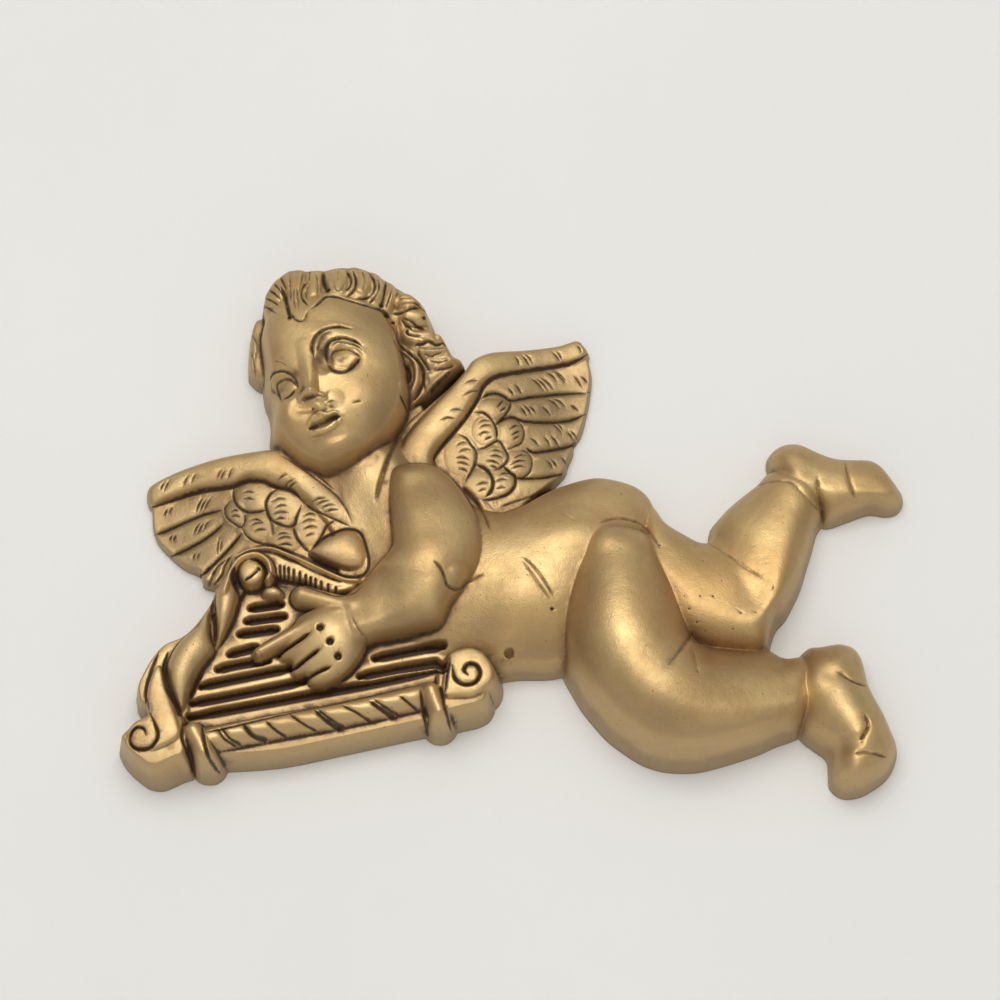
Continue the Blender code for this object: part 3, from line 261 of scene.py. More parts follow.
# scales of the wings: (x, y, length of the arcs cut on them)
SCALES = [
    (494, 409, 13, 9), (486, 431, 12, 13), (511, 432, 11, 12), (461, 455, 14, 18), (491, 459, 13, 12),
    (518, 464, 12, 12), (478, 484, 13, 13), (501, 483, 12, 11), (253, 497, 16, 13), (285, 508, 16, 17),
    (234, 514, 9, 12), (256, 528, 16, 13), (285, 539, 15, 12), (310, 526, 13, 17)]
HARP_LINES = [
    (0.83, 2.1, 0, [(213, 600), (212, 614), (215, 626), (215, 646)]),
    (0.9, 1.8, 0, [(168, 652), (164, 668), (165, 684), (172, 700), (182, 716)]),
    (0.75, 1.1, 0, [(159, 652), (151, 672), (146, 692), (150, 712)]),
    (0.8, 2.2, 0, [(150, 713), (155, 724), (158, 735), (153, 745), (144, 749), (135, 748), (130, 741),
        (132, 732), (138, 727), (144, 729), (146, 735)]),
    (0.9, 2.2, 0.0, [(240, 597), (235, 587), (232, 577), (235, 567)]),
    (0.6, 1.7, 0.0, [(244, 581), (250, 577), (254, 574), (258, 570)]),
    (0.5, 0.9, 0.0, [(252, 547), (268, 545), (280, 549), (300, 556), (318, 564), (335, 571)]),
    (1, 2.6, 0, [(452, 665), (455, 678), (464, 684), (475, 682), (480, 673), (476, 665), (468, 664),
        (464, 670), (468, 675)]),
    (0.68, 1.4, 0, [(445, 692), (447, 676), (450, 662)]),
    (0.68, 1.6, 0, [(205, 732), (230, 727), (290, 713), (340, 703), (420, 685)]),
    (0.75, 1.9, 0, [(183, 722), (182, 738), (187, 752), (192, 765), (196, 778)]),
    (0.9, 2.1, 0, [(202, 726), (205, 745), (210, 760), (220, 773)]),
    (0.75, 1.8, 0, [(420, 688), (424, 715), (428, 737)]),
    (0.9, 2.1, 0, [(440, 686), (443, 700), (451, 732)]),
    (0.45, 0.8, 0, [(272, 552), (285, 557), (301, 565), (315, 572), (335, 580), (352, 583)]),
    (0.6, 1.1, 0, [(268, 569), (276, 579), (290, 583), (306, 587), (322, 592), (336, 596), (352, 594),
        (363, 586)])]
STRING_SLOTS = [
    [(251, 608), (281, 604)], [(247, 621), (284, 616)], [(240, 634), (276, 629)], [(230, 654), (256, 647)],
    [(218, 669), (240, 664), (268, 660)], [(201, 686), (240, 678), (290, 668)],
    [(192, 703), (240, 694), (304, 681)],
    [(190, 717), (250, 706), (310, 695), (380, 682), (443, 668)],
    [(375, 658), (410, 651), (443, 645)], [(360, 676), (400, 668), (443, 661)]]
ROPE_AXIS = [(200, 740), (260, 728), (340, 713), (430, 693)]
ROPE_TWISTS = [
    [(217, 728), (224, 738), (236, 746)], [(221, 727), (230, 738), (242, 745)],
    [(243, 724), (253, 735), (268, 740)], [(266, 721), (276, 730), (288, 738)],
    [(290, 714), (301, 722), (318, 732)], [(315, 710), (328, 721), (343, 730)],
    [(318, 709), (331, 719), (346, 728)], [(342, 705), (358, 713), (374, 724)],
    [(370, 701), (382, 709), (396, 719)], [(374, 699), (386, 707), (400, 716)],
    [(400, 696), (408, 702), (418, 711)]]
DENTILS = 11
DENTIL_TOP = [(278, 564), (290, 567), (306, 574), (320, 580), (340, 588)]
DENTIL_FOOT = [(279, 578), (290, 581), (306, 586), (320, 590), (340, 595)]
HEAD_LINES = [
    (0.9, 1.5, 0.0, [(314, 357), (312, 348), (314, 339), (320, 332), (329, 328), (340, 327), (352, 329)]),
    (0.5, 1.0, 0.0, [(317, 352), (319, 343), (323, 336), (330, 331)]),
    (0.9, 1.7, 0.0, [(328, 364), (326, 354), (328, 344), (335, 339), (344, 338), (354, 341), (362, 346)]),
    (0.5, 1.0, 0.0, [(331, 346), (337, 342), (346, 343), (355, 345), (364, 351)]),
    (0.6, 1.1, 0.0, [(330, 360), (333, 353), (340, 350), (348, 350), (355, 353), (361, 358)]),
    (1.2, 2.0, 0.0, [(328, 365), (333, 370), (342, 372), (350, 369), (356, 363), (360, 358)]),
    (0.5, 0.8, 0.0, [(274, 361), (281, 362), (286, 366)]),
    (0.8, 1.4, 0.0, [(270, 381), (273, 374), (281, 371), (289, 373), (295, 379), (299, 387)]),
    (0.5, 1.0, 0.0, [(271, 382), (272, 389), (276, 394)]),
    (0.7, 1.3, 0.0, [(282, 402), (279, 394), (277, 386), (281, 381), (288, 379), (294, 382), (298, 388)]),
    (0.7, 1.3, 0.0, [(284, 399), (290, 396), (295, 390)]),
    (0.8, 1.3, 0.0, [(301, 400), (306, 399), (312, 397), (317, 395), (322, 396)]),
    (0.5, 0.6, 0.0, [(321, 398), (326, 396), (328, 391)]),
    (0.5, 0.7, 0.0, [(319, 404), (325, 404), (332, 407)]),
    (1.7, 2.4, 0.0, [(309, 429), (317, 425), (326, 421), (333, 418), (340, 416)]),
    (1.2, 3.0, 0.0, [(403, 364), (407, 369), (409, 376), (407, 383)]),
    (0.9, 2.0, 0.0, [(396, 334), (400, 345), (408, 352), (417, 360), (423, 370), (423, 382), (418, 394),
        (412, 403)]),
    (0.5, 0.8, 0.0, [(393, 338), (398, 350), (406, 356), (412, 361)]),
    (0.9, 1.8, 0.0, [(400, 395), (404, 404), (408, 413)]),
    (0.45, 1.0, 0.0, [(263, 306), (270, 309), (277, 314)]),
    (0.45, 1.0, 0.0, [(265, 298), (272, 301), (279, 306)]),
    (0.45, 1.0, 0.0, [(269, 290), (275, 294), (281, 300)]),
    (0.45, 1.0, 0.0, [(274, 284), (279, 289), (283, 295)]),
    (0.45, 1.0, 0.0, [(281, 278), (284, 284), (286, 291)]),
    (0.45, 0.8, 0.0, [(290, 276), (290, 288), (291, 300)]),
    (0.45, 0.8, 0.0, [(303, 273), (301, 284), (299, 292)]),
    (0.45, 0.8, 0.0, [(316, 274), (318, 286), (317, 298)]),
    (0.45, 0.8, 0.0, [(400, 305), (408, 303), (420, 304)]),
    (0.45, 0.8, 0.0, [(404, 325), (414, 327), (428, 326)]),
    (0.45, 0.8, 0.0, [(418, 348), (430, 349), (446, 348)]),
    (0.45, 0.8, 0.0, [(252, 335), (257, 345), (255, 360)]),
    (0.45, 0.8, 0.0, [(251, 350), (254, 365), (256, 380)]),
    (0.8, 1.7, 0.0, [(311, 309), (318, 304), (326, 297), (336, 297), (347, 300), (360, 304), (374, 308),
        (385, 313), (393, 322)]),
    (1.0, 2.4, 0.0, [(281, 287), (285, 297), (288, 308), (290, 318)]),
    (0.6, 1.2, 0.0, [(291, 313), (295, 319), (300, 321), (305, 319), (308, 310)]),
    (0.35, 0.8, 0.0, [(294, 288), (294, 300), (296, 309)]),
    (0.35, 0.8, 0.0, [(297, 288), (298, 300), (299, 309)]),
    (0.6, 1.3, 0.0, [(308, 281), (302, 289), (302, 298), (308, 306)]),
    (0.35, 0.7, 0.0, [(310, 284), (306, 292), (307, 300)]),
    (0.5, 1.0, 0.0, [(310, 271), (309, 281)]),
    (1.0, 2.2, 0.0, [(323, 273), (324, 283), (328, 291)]),
    (0.4, 0.8, 0.0, [(333, 282), (336, 290), (341, 290), (345, 283)]),
    (0.3, 0.5, 0.0, [(338, 271), (338, 281)]),
    (0.7, 1.4, 0.0, [(346, 271), (351, 279), (350, 286), (346, 291)]),
    (0.7, 1.4, 0.0, [(353, 271), (356, 281), (354, 290), (346, 298)]),
    (0.4, 0.8, 0.0, [(362, 271), (365, 282), (363, 291)]),
    (0.7, 1.3, 0.0, [(368, 272), (374, 281), (374, 290), (367, 298), (355, 299)]),
    (0.6, 1.2, 0.0, [(378, 279), (379, 288), (375, 297), (369, 304)]),
    (0.7, 1.4, 0.0, [(386, 283), (384, 294), (381, 307)]),
    (0.5, 1.0, 0.0, [(392, 288), (389, 299), (386, 308)]),
    (0.4, 0.8, 0.0, [(399, 301), (403, 298), (411, 298)]),
    (0.8, 1.6, 0.0, [(393, 314), (401, 313), (410, 309), (419, 308)]),
    (0.5, 1.0, 0.0, [(414, 302), (421, 308), (428, 315), (432, 322)]),
    (0.7, 1.5, 0.0, [(403, 318), (411, 321), (418, 327), (426, 330)]),
    (0.6, 1.2, 0.0, [(401, 319), (406, 325), (413, 330)]),
    (0.7, 1.3, 0.0, [(405, 332), (410, 335), (421, 336)]),
    (0.8, 1.5, 0.0, [(415, 345), (422, 344), (429, 341), (436, 345), (443, 343)]),
    (0.5, 1.0, 0.0, [(441, 342), (446, 346), (450, 350)]),
    (0.4, 0.8, 0.0, [(446, 340), (452, 346)]),
    (0.7, 1.4, 0.0, [(417, 352), (424, 362), (430, 371)]),
    (0.5, 0.9, 0.0, [(424, 354), (432, 356), (442, 352)]),
    (0.5, 0.9, 0.0, [(430, 361), (440, 362), (450, 359)]),
    (0.5, 1.0, 0.0, [(432, 370), (443, 369), (455, 366)]),
    (0.7, 1.3, 0.0, [(428, 394), (438, 384), (450, 372)]),
    (0.5, 1.0, 0.0, [(424, 372), (424, 384), (427, 394)])]
HEAD_PITS = [
    (290, 318, 0.9), (328, 291, 1.0), (381, 306, 0.8), (393, 323, 0.8), (407, 331, 0.7), (313, 409, 0.5),
    (386, 316, 1.1), (424, 318, 0.7)]
# locks of hair: (half width, rise, points)
LOCKS = [
    (1.5, 0.9, [(262, 311), (276, 317)]), (1.5, 0.9, [(263, 302), (278, 309)]),
    (1.5, 0.9, [(266, 294), (280, 302)]), (1.5, 0.9, [(271, 287), (282, 296)]),
    (1.5, 0.9, [(277, 281), (285, 292)]), (1.5, 0.9, [(284, 275), (289, 288)]),
    (2.0, 1.3, [(291, 273), (292, 292), (294, 308)]),
    (2.6, 1.6, [(299, 272), (299, 294), (300, 316)]),
    (3.6, 1.7, [(316, 272), (313, 288), (314, 300)]),
    (1.4, 0.8, [(327, 272), (329, 288)]),
    (4.0, 1.7, [(338, 270), (338, 284), (336, 296)]),
    (1.6, 1.2, [(352, 270), (353, 284), (349, 294)]),
    (3.4, 1.6, [(360, 270), (364, 284), (358, 296)]),
    (2.1, 1.4, [(374, 275), (377, 289), (371, 302)]),
    (2.1, 1.4, [(382, 279), (382, 293), (378, 305)]),
    (2.0, 1.4, [(390, 282), (391, 296), (387, 310)]),
    (3.6, 1.7, [(396, 297), (406, 302), (418, 300)]),
    (3.6, 1.6, [(402, 315), (416, 318), (432, 320)]),
    (1.2, 0.8, [(405, 322), (413, 328)]),
    (3.0, 1.5, [(402, 333), (416, 339), (440, 336)]),
    (3.6, 1.6, [(417, 350), (432, 350), (452, 347)]),
    (2.6, 1.3, [(424, 364), (438, 365), (456, 358)]),
    (3.0, 1.4, [(427, 381), (437, 377), (452, 366)]),
    (1.2, 1.0, [(430, 395), (441, 385), (454, 372)])]
# soft lumps and hollows: (x, y, half width, half height, rise, turn in degrees, fullness)
FACE_FORMS = [
    (364, 402, 17, 16, 2.6, 0, 2.0), (288, 420, 9, 12, 2.4, 0, 2.0), (338, 448, 11, 8, 2.6, 0, 2.0),
    (322, 420, 14, 12, 2.0, 0, 2.0), (338, 333, 15, 6, 0.9, -10, 2.0), (341, 356, 10, 8, -3.2, 0, 1.5),
    (323, 362, 4.5, 6, -2.2, 0, 1.5), (284, 386, 7.5, 8, -2.8, 0, 1.5), (334, 400, 5, 5, -0.9, 0, 1.6),
    (297, 410, 4, 5, -0.9, 0, 1.6)]
# ridge along a line: (half width and rise at its start, half width and rise at its end, points)
NOSE = (3.4, 0.5, 3.9, 4.8, [(303, 344), (306, 358), (309, 374), (310, 393)])
FACE_FEATURES = [
    (311, 394, 4.6, 2.8, 1.6, 0, 0.9), (321, 397, 2.8, 2.2, 1.9, 0, 0.8), (302, 398, 2.0, 2.1, 1.5, 0, 0.8),
    (308, 409, 5.0, 2.2, -1.0, 0, 1.2), (345, 360, 6.0, 4.0, 2.2, 14, 1.0),
    (288, 390, 3.9, 3.4, 1.8, 35, 1.0), (405, 391, 2.6, 3.2, 1.6, 0, 1.0),
        (330, 438, 8, 2.4, -1.0, 18, 1.5)]
LIPS = [
    (1.0, 0.9, [(308, 424), (314, 417), (320, 413), (327, 415), (334, 413), (341, 415)]),
    (1.5, 1.6, [(312, 434), (321, 432), (330, 428), (339, 421)])]
EAR_RIM = [(393, 327), (396, 338), (402, 350), (411, 357), (416, 366), (417, 379), (413, 391), (408, 399)]
LIDS = [
    [(330, 357), (336, 347), (346, 341), (357, 346), (363, 353)],
    [(274, 390), (273, 381), (279, 374), (287, 373), (294, 379)]]
# small pits of the casting: (x, y, radius in mm)
CASTING_PITS = [
    (713, 596, 0.35), (741, 613, 0.4), (756, 612, 0.3), (700, 596, 0.3), (733, 629, 0.3), (689, 609, 0.4),
    (697, 622, 0.35), (684, 596, 0.3), (705, 631, 0.3), (552, 609, 0.6), (722, 580, 0.3), (773, 588, 0.3),
    (660, 545, 0.3), (812, 760, 0.35), (862, 742, 0.3)]
BODY_LINES = [
    (0.56, 1, 0, [(522, 556), (532, 565), (542, 577), (550, 590), (554, 597)]),
    (0.56, 0.77, 0, [(522, 560), (535, 578), (545, 592), (551, 600)]),
    (0.91, 1.1, 2, [(693, 633), (680, 650), (668, 665)]),
    (0.56, 0.7, 1.3, [(694, 650), (696, 662), (698, 674)]),
    (0.6, 0.5, 2, [(705, 541), (725, 553), (745, 567), (765, 579)]),
    (0.63, 1.3, 1.2, [(838, 672), (852, 681), (866, 686)]),
    (0.84, 1.7, 1.2, [(865, 715), (868, 725), (864, 734), (860, 740)]),
    (0.63, 1.3, 1.2, [(855, 753), (868, 752), (887, 757)]),
    (0.7, 1.1, 1.2, [(818, 478), (818, 490), (821, 505), (823, 525)]),
    (0.63, 1, 1.2, [(845, 463), (849, 480), (855, 498)]),
    (1, 0.49, 2, [(752, 488), (770, 482), (790, 482), (800, 490), (812, 503), (820, 512)]),
    (0.84, 0.98, 0, [(600, 523), (612, 519), (625, 519), (640, 524), (652, 536), (660, 548)]),
    (0.84, 1.8, 0, [(434, 561), (440, 567), (444, 576), (447, 585), (454, 589), (462, 588)]),
    (0.63, 1.1, 0, [(461, 588), (470, 581), (484, 574)]),
    (0.63, 1.1, 1.1, [(463, 487), (475, 500), (484, 515), (490, 530)]),
    (0.77, 1.3, 0.96, [(404, 424), (396, 440), (389, 456), (384, 470), (379, 486), (376, 500)]),
    (0.45, 0.35, 0, [(560, 512), (575, 520)]),
    (0.45, 0.6, 0, [(351, 617), (356, 626), (362, 634), (368, 641)]),
    (0.45, 0.42, 0, [(256, 650), (261, 654), (262, 657)])]
# fingers and thumb: (half width at the root, at the tip, crest at the root, at the tip, points)
FINGERS = [
    (5.0, 2.9, 27.6, 23.0, [(340, 612), (310, 624), (286, 637), (259, 652)]),
    (5.4, 5.0, 28.0, 25.0, [(350, 606), (325, 600), (302, 594)])]
FINGER_GAPS = [
    (0.9, 3.4, 0.9, [(278, 658), (283, 651), (296, 642), (310, 632)]),
    (0.9, 3.2, 0.9, [(289, 671), (297, 666), (308, 657), (320, 648)]),
    (0.8, 2.4, 0.9, [(302, 683), (309, 677), (319, 671), (331, 666)])]
KNUCKLE_HOLES = [(320, 627, 1.5), (330, 641, 1.5), (338, 656, 1.5)]
BODY_FORMS = [
    (509, 653, 2.0, 2.0, -2.6, 0, 0.8), (508, 664, 3.2, 2.4, 1.4, 0, 1.6),
    (460, 575, 5.5, 4.0, 1.6, 20, 1.6), (845, 745, 8.0, 5.0, -2.2, 0, 1.6),
    (702, 654, 11.0, 7.0, -1.6, 0, 2.0), (430, 552, 16, 12, 1.0, 0, 2.0), (520, 600, 16, 14, 1.2, 0, 2.0),
    (580, 532, 20, 14, 2.2, 0, 2.0), (835, 662, 9, 7, 1.2, 0, 2.0), (372, 520, 12, 20, -1.6, 0, 2.0)]


# crests of the limbs: (x, y, height)
NEAR_LEG_CREST = [
    (618, 548, 35), (620, 580, 40), (624, 620, 43), (640, 660, 43), (670, 690, 42), (705, 705, 39),
    (750, 706, 33), (795, 700, 27)]
NEAR_FOOT_CREST = [(820, 680, 26), (842, 695, 28), (858, 730, 28), (858, 765, 26)]
FAR_LEG_CREST = [
    (645, 545, 25), (672, 575, 26.5), (702, 600, 27.5), (735, 616, 27.5), (760, 616, 27), (775, 596, 26.5),
    (780, 565, 26), (786, 530, 24.5), (797, 490, 21.5)]
FAR_FOOT_CREST = [(795, 475, 21), (820, 488, 20), (850, 490, 19), (880, 497, 18)]
ARM_CREST = [
    (412, 482, 30), (419, 510, 35), (429, 545, 39.5), (428, 576, 39.5), (410, 600, 36), (385, 616, 32),
    (358, 626, 30)]


SOUND_ARM_RIM = [
    (235, 558), (249, 551), (265, 549), (275, 550), (285, 554), (300, 560), (315, 567), (330, 574),
    (345, 580), (358, 581)]
VOLUTE_CURL = [(224, 592), (231, 572), (240, 559), (255, 554), (267, 560), (271, 571), (268, 579)]
# flat forms of the harp with their heights, and rounded ones with crest, side and base
HARP_PLATES = [(STRING_BOARD, 16.5), (HARP_SIDE, 18.0), (BASE_BLOCK, 17.5), (TOP_RAIL, 25.5),
               (RIGHT_BLOCK, 24.0)]
HARP_ROUNDS = [(LEFT_VOLUTE, 28.0, 0.5, 24.8), (RIGHT_VOLUTE, 27.5, 0.6, 22.8),
               (TOP_VOLUTE, 26.0, 0.45, 21.0), (SOUND_ARM, 22.0, 0.95, 15.0),
               (LOWER_PILLAR, 26.0, 0.3, 15.0), (UPPER_PILLAR, 26.0, 0.3, 15.0), (MOUND, 21.5, 0.3, 16.0)]
HARP_PITS = [(259, 569, 0.8), (214, 615, 0.9)]
# levels that change from one place to another: (x, y, height) at both ends
TORSO_LEVEL = ((400, 560, 24.0), (560, 560, 32.0))
SHOULDER_LEVELS = (((322, 482, 17.0), (372, 470, 22.0)), ((414, 440, 13.5), (386, 468, 22.0)))
HAIR_LEVEL = ((345, 310, 33.0), (445, 400, 15.0))
EAR_HAIR_LEVEL = ((405, 310, 29.0), (438, 390, 16.5))
RIGHT_WING_LEVEL = ((480, 440, 14.5), (590, 420, 5.0))
LEFT_WING_LEVEL = ((290, 520, 14.5), (150, 520, 5.0))
HAND_LEVEL = ((335, 630, 29.5), (288, 668, 26.0))
# sizes of the carving in mm, and how much wash the cut lines hold
DETAIL_BLUR = 0.32
FINGER_BASE = 15.0
LOCK_LIFT = 1.6
SCALE_RISE = 1.1
SLOT_HALF, SLOT_FLOOR, SLOT_WALL = 1.15, 11.0, 8.0
CUT_HALF, CUT_DEPTH, CUT_TAPER, CUT_BEND = 0.5, 0.9, 0.4, 0.12
HEAD_INK, BODY_INK = 0.8, 0.6
# noise: (scale, detail, roughness)
MOTTLE, SMEAR = (55.0, 4.0, 0.6), (260.0, 4.0, 0.62)
GRAIN, SPECKS = (1500.0, 2.0, 0.6), (900.0, 2.0, 0.5)
CLOUD, PORES = (30.0, 5.0, 0.6), (900.0, 3.0, 0.6)
SWEEP_PARTS = 24
SENSOR_WIDTH = 36.0
# grid steps in mm, the number of triangles aimed at and the welding distance in metres
FINE_STEP, QUICK_STEP = 0.36, 0.6
TRIANGLES = 190000
WELD = 2e-5
# paint, wash, painted shade and bare back, as linear colours
WASH_COLOUR = (0.075, 0.040, 0.022, 1.0)
# brown for hollows: partly staining of the wash, partly painted shade
BROWN_AND_SHADE = (0.32, 0.18, 0.075, 1.0)
GOLD = (0.77, 0.56, 0.265, 1.0)
DEEP_GOLD = (0.62, 0.42, 0.19, 1.0)
WARM_GOLD = (0.66, 0.42, 0.17, 1.0)
# duller gold for patches that are partly brown patina and partly painted shade
DULL_AND_SHADED_GOLD = (0.35, 0.245, 0.125, 1.0)
# greyer, darker gold painted on the outer side walls next to the wall: painted shade
SHADED_SIDE_GOLD = (0.36, 0.27, 0.15, 1.0)
# darker gold painted on steep slopes: painted shade
SHADED_FLANK_GOLD = (0.38, 0.25, 0.13, 1.0)
BACK_COLOUR = (0.20, 0.135, 0.075, 1.0)
# soft patches of tone: (x, y, reach in mm, strength)
WARM_PATCHES = [
    (705, 590, 24, 0.8), (775, 580, 20, 0.8), (600, 610, 10, 0.4), (520, 640, 20, 0.6), (720, 640, 16, 0.6),
    (800, 500, 14, 0.3), (300, 430, 14, 0.3), (860, 480, 14, 0.3)]
# duller patches: partly brown patina on the wings, partly painted shade on undersides and on surfaces
# turned from the light
DULL_AND_SHADE_PATCHES = [
    (590, 600, 12, 0.5), (600, 730, 16, 0.7), (655, 745, 16, 1.0), (415, 500, 10, 0.4), (270, 760, 20, 0.4),
    (370, 330, 12, 0.5), (550, 395, 22, 1.0), (520, 380, 16, 0.8), (560, 440, 15, 1.0), (480, 460, 14, 0.7),
    (172, 535, 24, 1.0), (230, 505, 15, 0.9), (280, 520, 15, 0.8), (720, 655, 14, 0.6), (540, 655, 14, 0.7),
    (330, 480, 9, 1.0), (395, 462, 9, 0.9), (385, 430, 10, 0.6), (400, 632, 9, 1.0), (360, 620, 8, 0.6),
    (135, 765, 14, 0.8), (480, 625, 12, 0.7), (375, 500, 10, 0.7), (845, 700, 8, 0.5), (520, 595, 9, 0.35),
    (190, 655, 7, 0.5), (150, 700, 8, 0.4), (430, 360, 12, 0.4), (400, 600, 7, 0.4), (330, 300, 8, 0.2),
    (800, 465, 8, 0.4)]
# recesses where the wash is heavier, partly real wash and partly painted shade beside and under the nose,
# in the eye corners and in the mouth: (x, y, reach in mm, strength)
THICK_WASH_AND_SHADE = [
    (323, 352, 3.2, 0.9), (325, 363, 3.0, 0.95), (333, 371, 2.0, 0.9), (320, 373, 2.6, 0.75),
    (297, 385, 1.6, 0.8), (331, 347, 1.6, 0.6), (344, 373, 1.6, 0.7), (304, 402, 1.5, 0.9),
    (313, 399, 1.0, 0.6), (318, 425, 1.7, 0.9), (279, 396, 1.6, 0.6), (341, 373, 1.3, 0.7),
    (349, 371, 1.2, 0.6), (509, 652, 1.8, 0.8), (340, 366, 2.0, 0.45), (283, 396, 1.5, 0.5),
    (412, 398, 2.2, 0.6), (326, 423, 1.7, 0.85), (334, 419, 1.4, 0.8), (301, 382, 1.5, 0.4),
    (408, 374, 2.0, 0.8), (213, 592, 2.0, 0.6), (384, 478, 2.0, 0.6), (500, 500, 2.5, 0.6)]

# places that were wiped clean, where only the cut lines keep their wash
SMOOTH_PLACES = [
    (620, 620, 60, 1.0), (740, 560, 60, 1.0), (830, 700, 40, 1.0), (440, 560, 34, 1.0), (355, 480, 22, 0.8),
    (330, 400, 36, 0.9)]
# the stage: a pale wall right behind the casting that sweeps into the floor
WALL_PALE = (0.905, 0.905, 0.89, 1.0)
WALL_SHADE = (0.885, 0.885, 0.87, 1.0)
WALL_CLEARANCE = 0.0012
WALL_GAP = 0.0002
WALL_TOP = 2.2
FLOOR_LEVEL = -0.80
SWEEP_RADIUS = 0.35
FLOOR_REACH = -3.5
STAGE_HALF_WIDTH = 3.0
# lights: (name, direction from the front in degrees, height in degrees, distance, width,
# height, watts, colour)
LIGHTS = [
    ('window', -3, 11, 1.5, 1.1, 0.85, 9.5, (1.0, 0.985, 0.955)),
    ('rear_fill', 205, 20, 1.8, 1.0, 1.0, 14.0, (1.0, 1.0, 1.0))]
# the room is brighter in front of the wall: colour, dim level, extra in front, where the front is
WORLD_COLOUR = (1.0, 0.985, 0.96, 1.0)
WORLD_DIM, WORLD_FRONT = 0.19, 0.60
WORLD_FACING = (-0.05, -0.97, 0.22)
AIM = (0.005, 0.0, 0.029)
LENS = 108.0


def lay_grid(step):
    """The wall-plane grid, and INK, which is 1 where a cut holds the wash."""
    global GRID_STEP, XS, ZS, X, Z, INK
    GRID_STEP = step
    XS = np.arange(FIELD_LEFT, FIELD_RIGHT + step / 2, step)
    ZS = np.arange(FIELD_LOW, FIELD_HIGH + step / 2, step)
    X, Z = np.meshgrid(XS, ZS)
    INK = np.zeros(X.shape)


def wall_point(x, y, height=0.0):
    """Where the sight line through sheet point (x, y) meets the level `height` above the wall."""
    across = SHEET_UNIT * (np.asarray(x, float) - SHEET_CENTRE[0])
    up = SHEET_UNIT * (SHEET_CENTRE[1] - np.asarray(y, float))
    reach = (SIGHT_DISTANCE * COS - height) / (SIGHT_DISTANCE * COS - up * SIN)
    return reach * across, -SIGHT_DISTANCE * SIN + reach * (up * COS + SIGHT_DISTANCE * SIN)


def soft_max(first, second, blend):
    """The higher of two surfaces, with a fillet about `blend` mm wide where they cross."""
    share = np.clip(0.5 + 0.5 * (first - second) / blend, 0.0, 1.0)
    return second + (first - second) * share + blend * share * (1.0 - share)


def soft_min(first, second, blend):
    return -soft_max(-first, -second, blend)


def smooth_line(points, count, closed=False):
    """A Catmull-Rom curve through the points."""
    p = np.asarray(points, float)
    if closed:
        p = np.vstack([p[-1:], p, p[:2]])
    elif len(p) == 2:
        share = np.linspace(0.0, 1.0, count)[:, None]
        return p[0] * (1.0 - share) + p[1] * share
    else:
        p = np.vstack([2 * p[0] - p[1], p, 2 * p[-1] - p[-2]])
    place = np.linspace(0.0, len(p) - 3 - 1e-9, count)
    i = place.astype(int)
    f = (place - i)[:, None]
    a, b, c, d = p[i], p[i + 1], p[i + 2], p[i + 3]
    bend = (2 * a - 5 * b + 4 * c - d) * f ** 2 + (3 * b - a - 3 * c + d) * f ** 3
    return 0.5 * (2 * b + (c - a) * f + bend)


def window(px, pz, reach):
    """The part of the grid within `reach` of some wall points."""
    low = [max(0, int((pz.min() - reach - FIELD_LOW) / GRID_STEP)),
           max(0, int((px.min() - reach - FIELD_LEFT) / GRID_STEP))]
    high = [int((pz.max() + reach - FIELD_LOW) / GRID_STEP) + 2,
            int((px.max() + reach - FIELD_LEFT) / GRID_STEP) + 2]
    return slice(low[0], max(high[0], 0)), slice(low[1], max(high[1], 0))


def near_line(px, pz, gx, gz):
    """Distance of grid points to a line of wall points, and how far along it each is nearest."""
    best = np.full(gx.shape, 1e9)
    place = np.zeros(gx.shape)
    for k in range(len(px) - 1):
        ex, ez = px[k + 1] - px[k], pz[k + 1] - pz[k]
        along = ((gx - px[k]) * ex + (gz - pz[k]) * ez) / (ex * ex + ez * ez + 1e-12)
        along = np.clip(along, 0.0, 1.0)
        away = (gx - px[k] - along * ex) ** 2 + (gz - pz[k] - along * ez) ** 2
        nearer = away < best
        best[nearer] = away[nearer]
        place[nearer] = (k + along[nearer]) / (len(px) - 1)
    return np.sqrt(best), place


def inside_distance(foot, gx, gz):
    """Signed distance to a closed foot line, positive inside."""
    ring = np.vstack([foot, foot[:1]])
    inside = np.zeros(gx.shape, bool)
    for (ax, az), (bx, bz) in zip(ring[:-1], ring[1:]):
        if az != bz:
            inside ^= ((az > gz) != (bz > gz)) & (gx < (bx - ax) * (gz - az) / (bz - az) + ax)
    away = near_line(ring[:, 0], ring[:, 1], gx, gz)[0]
    return np.where(inside, away, -away)


def plate(outline, top, rim=1.2, draft=WALL_DRAFT):
    """A flat-topped form; outline corners carry the height at which they are seen."""
    o = np.asarray(outline, float)
    x, z = wall_point(o[:, 0], o[:, 1], o[:, 2])
    foot = smooth_line(np.stack([x, z], 1), 3 * len(o), closed=True)
    part = window(foot[:, 0], foot[:, 1], 6.0)
    inset = inside_distance(foot, X[part], Z[part])
    out = np.full(X.shape, FAR_BELOW)
    level = top if np.isscalar(top) else top[part]
    edge = soft_min(level + 0 * inset, draft * inset, 2 * rim)
    out[part] = np.where(inset > 0, edge, WALL_DRAFT * inset)
    return np.maximum(out, FAR_BELOW)


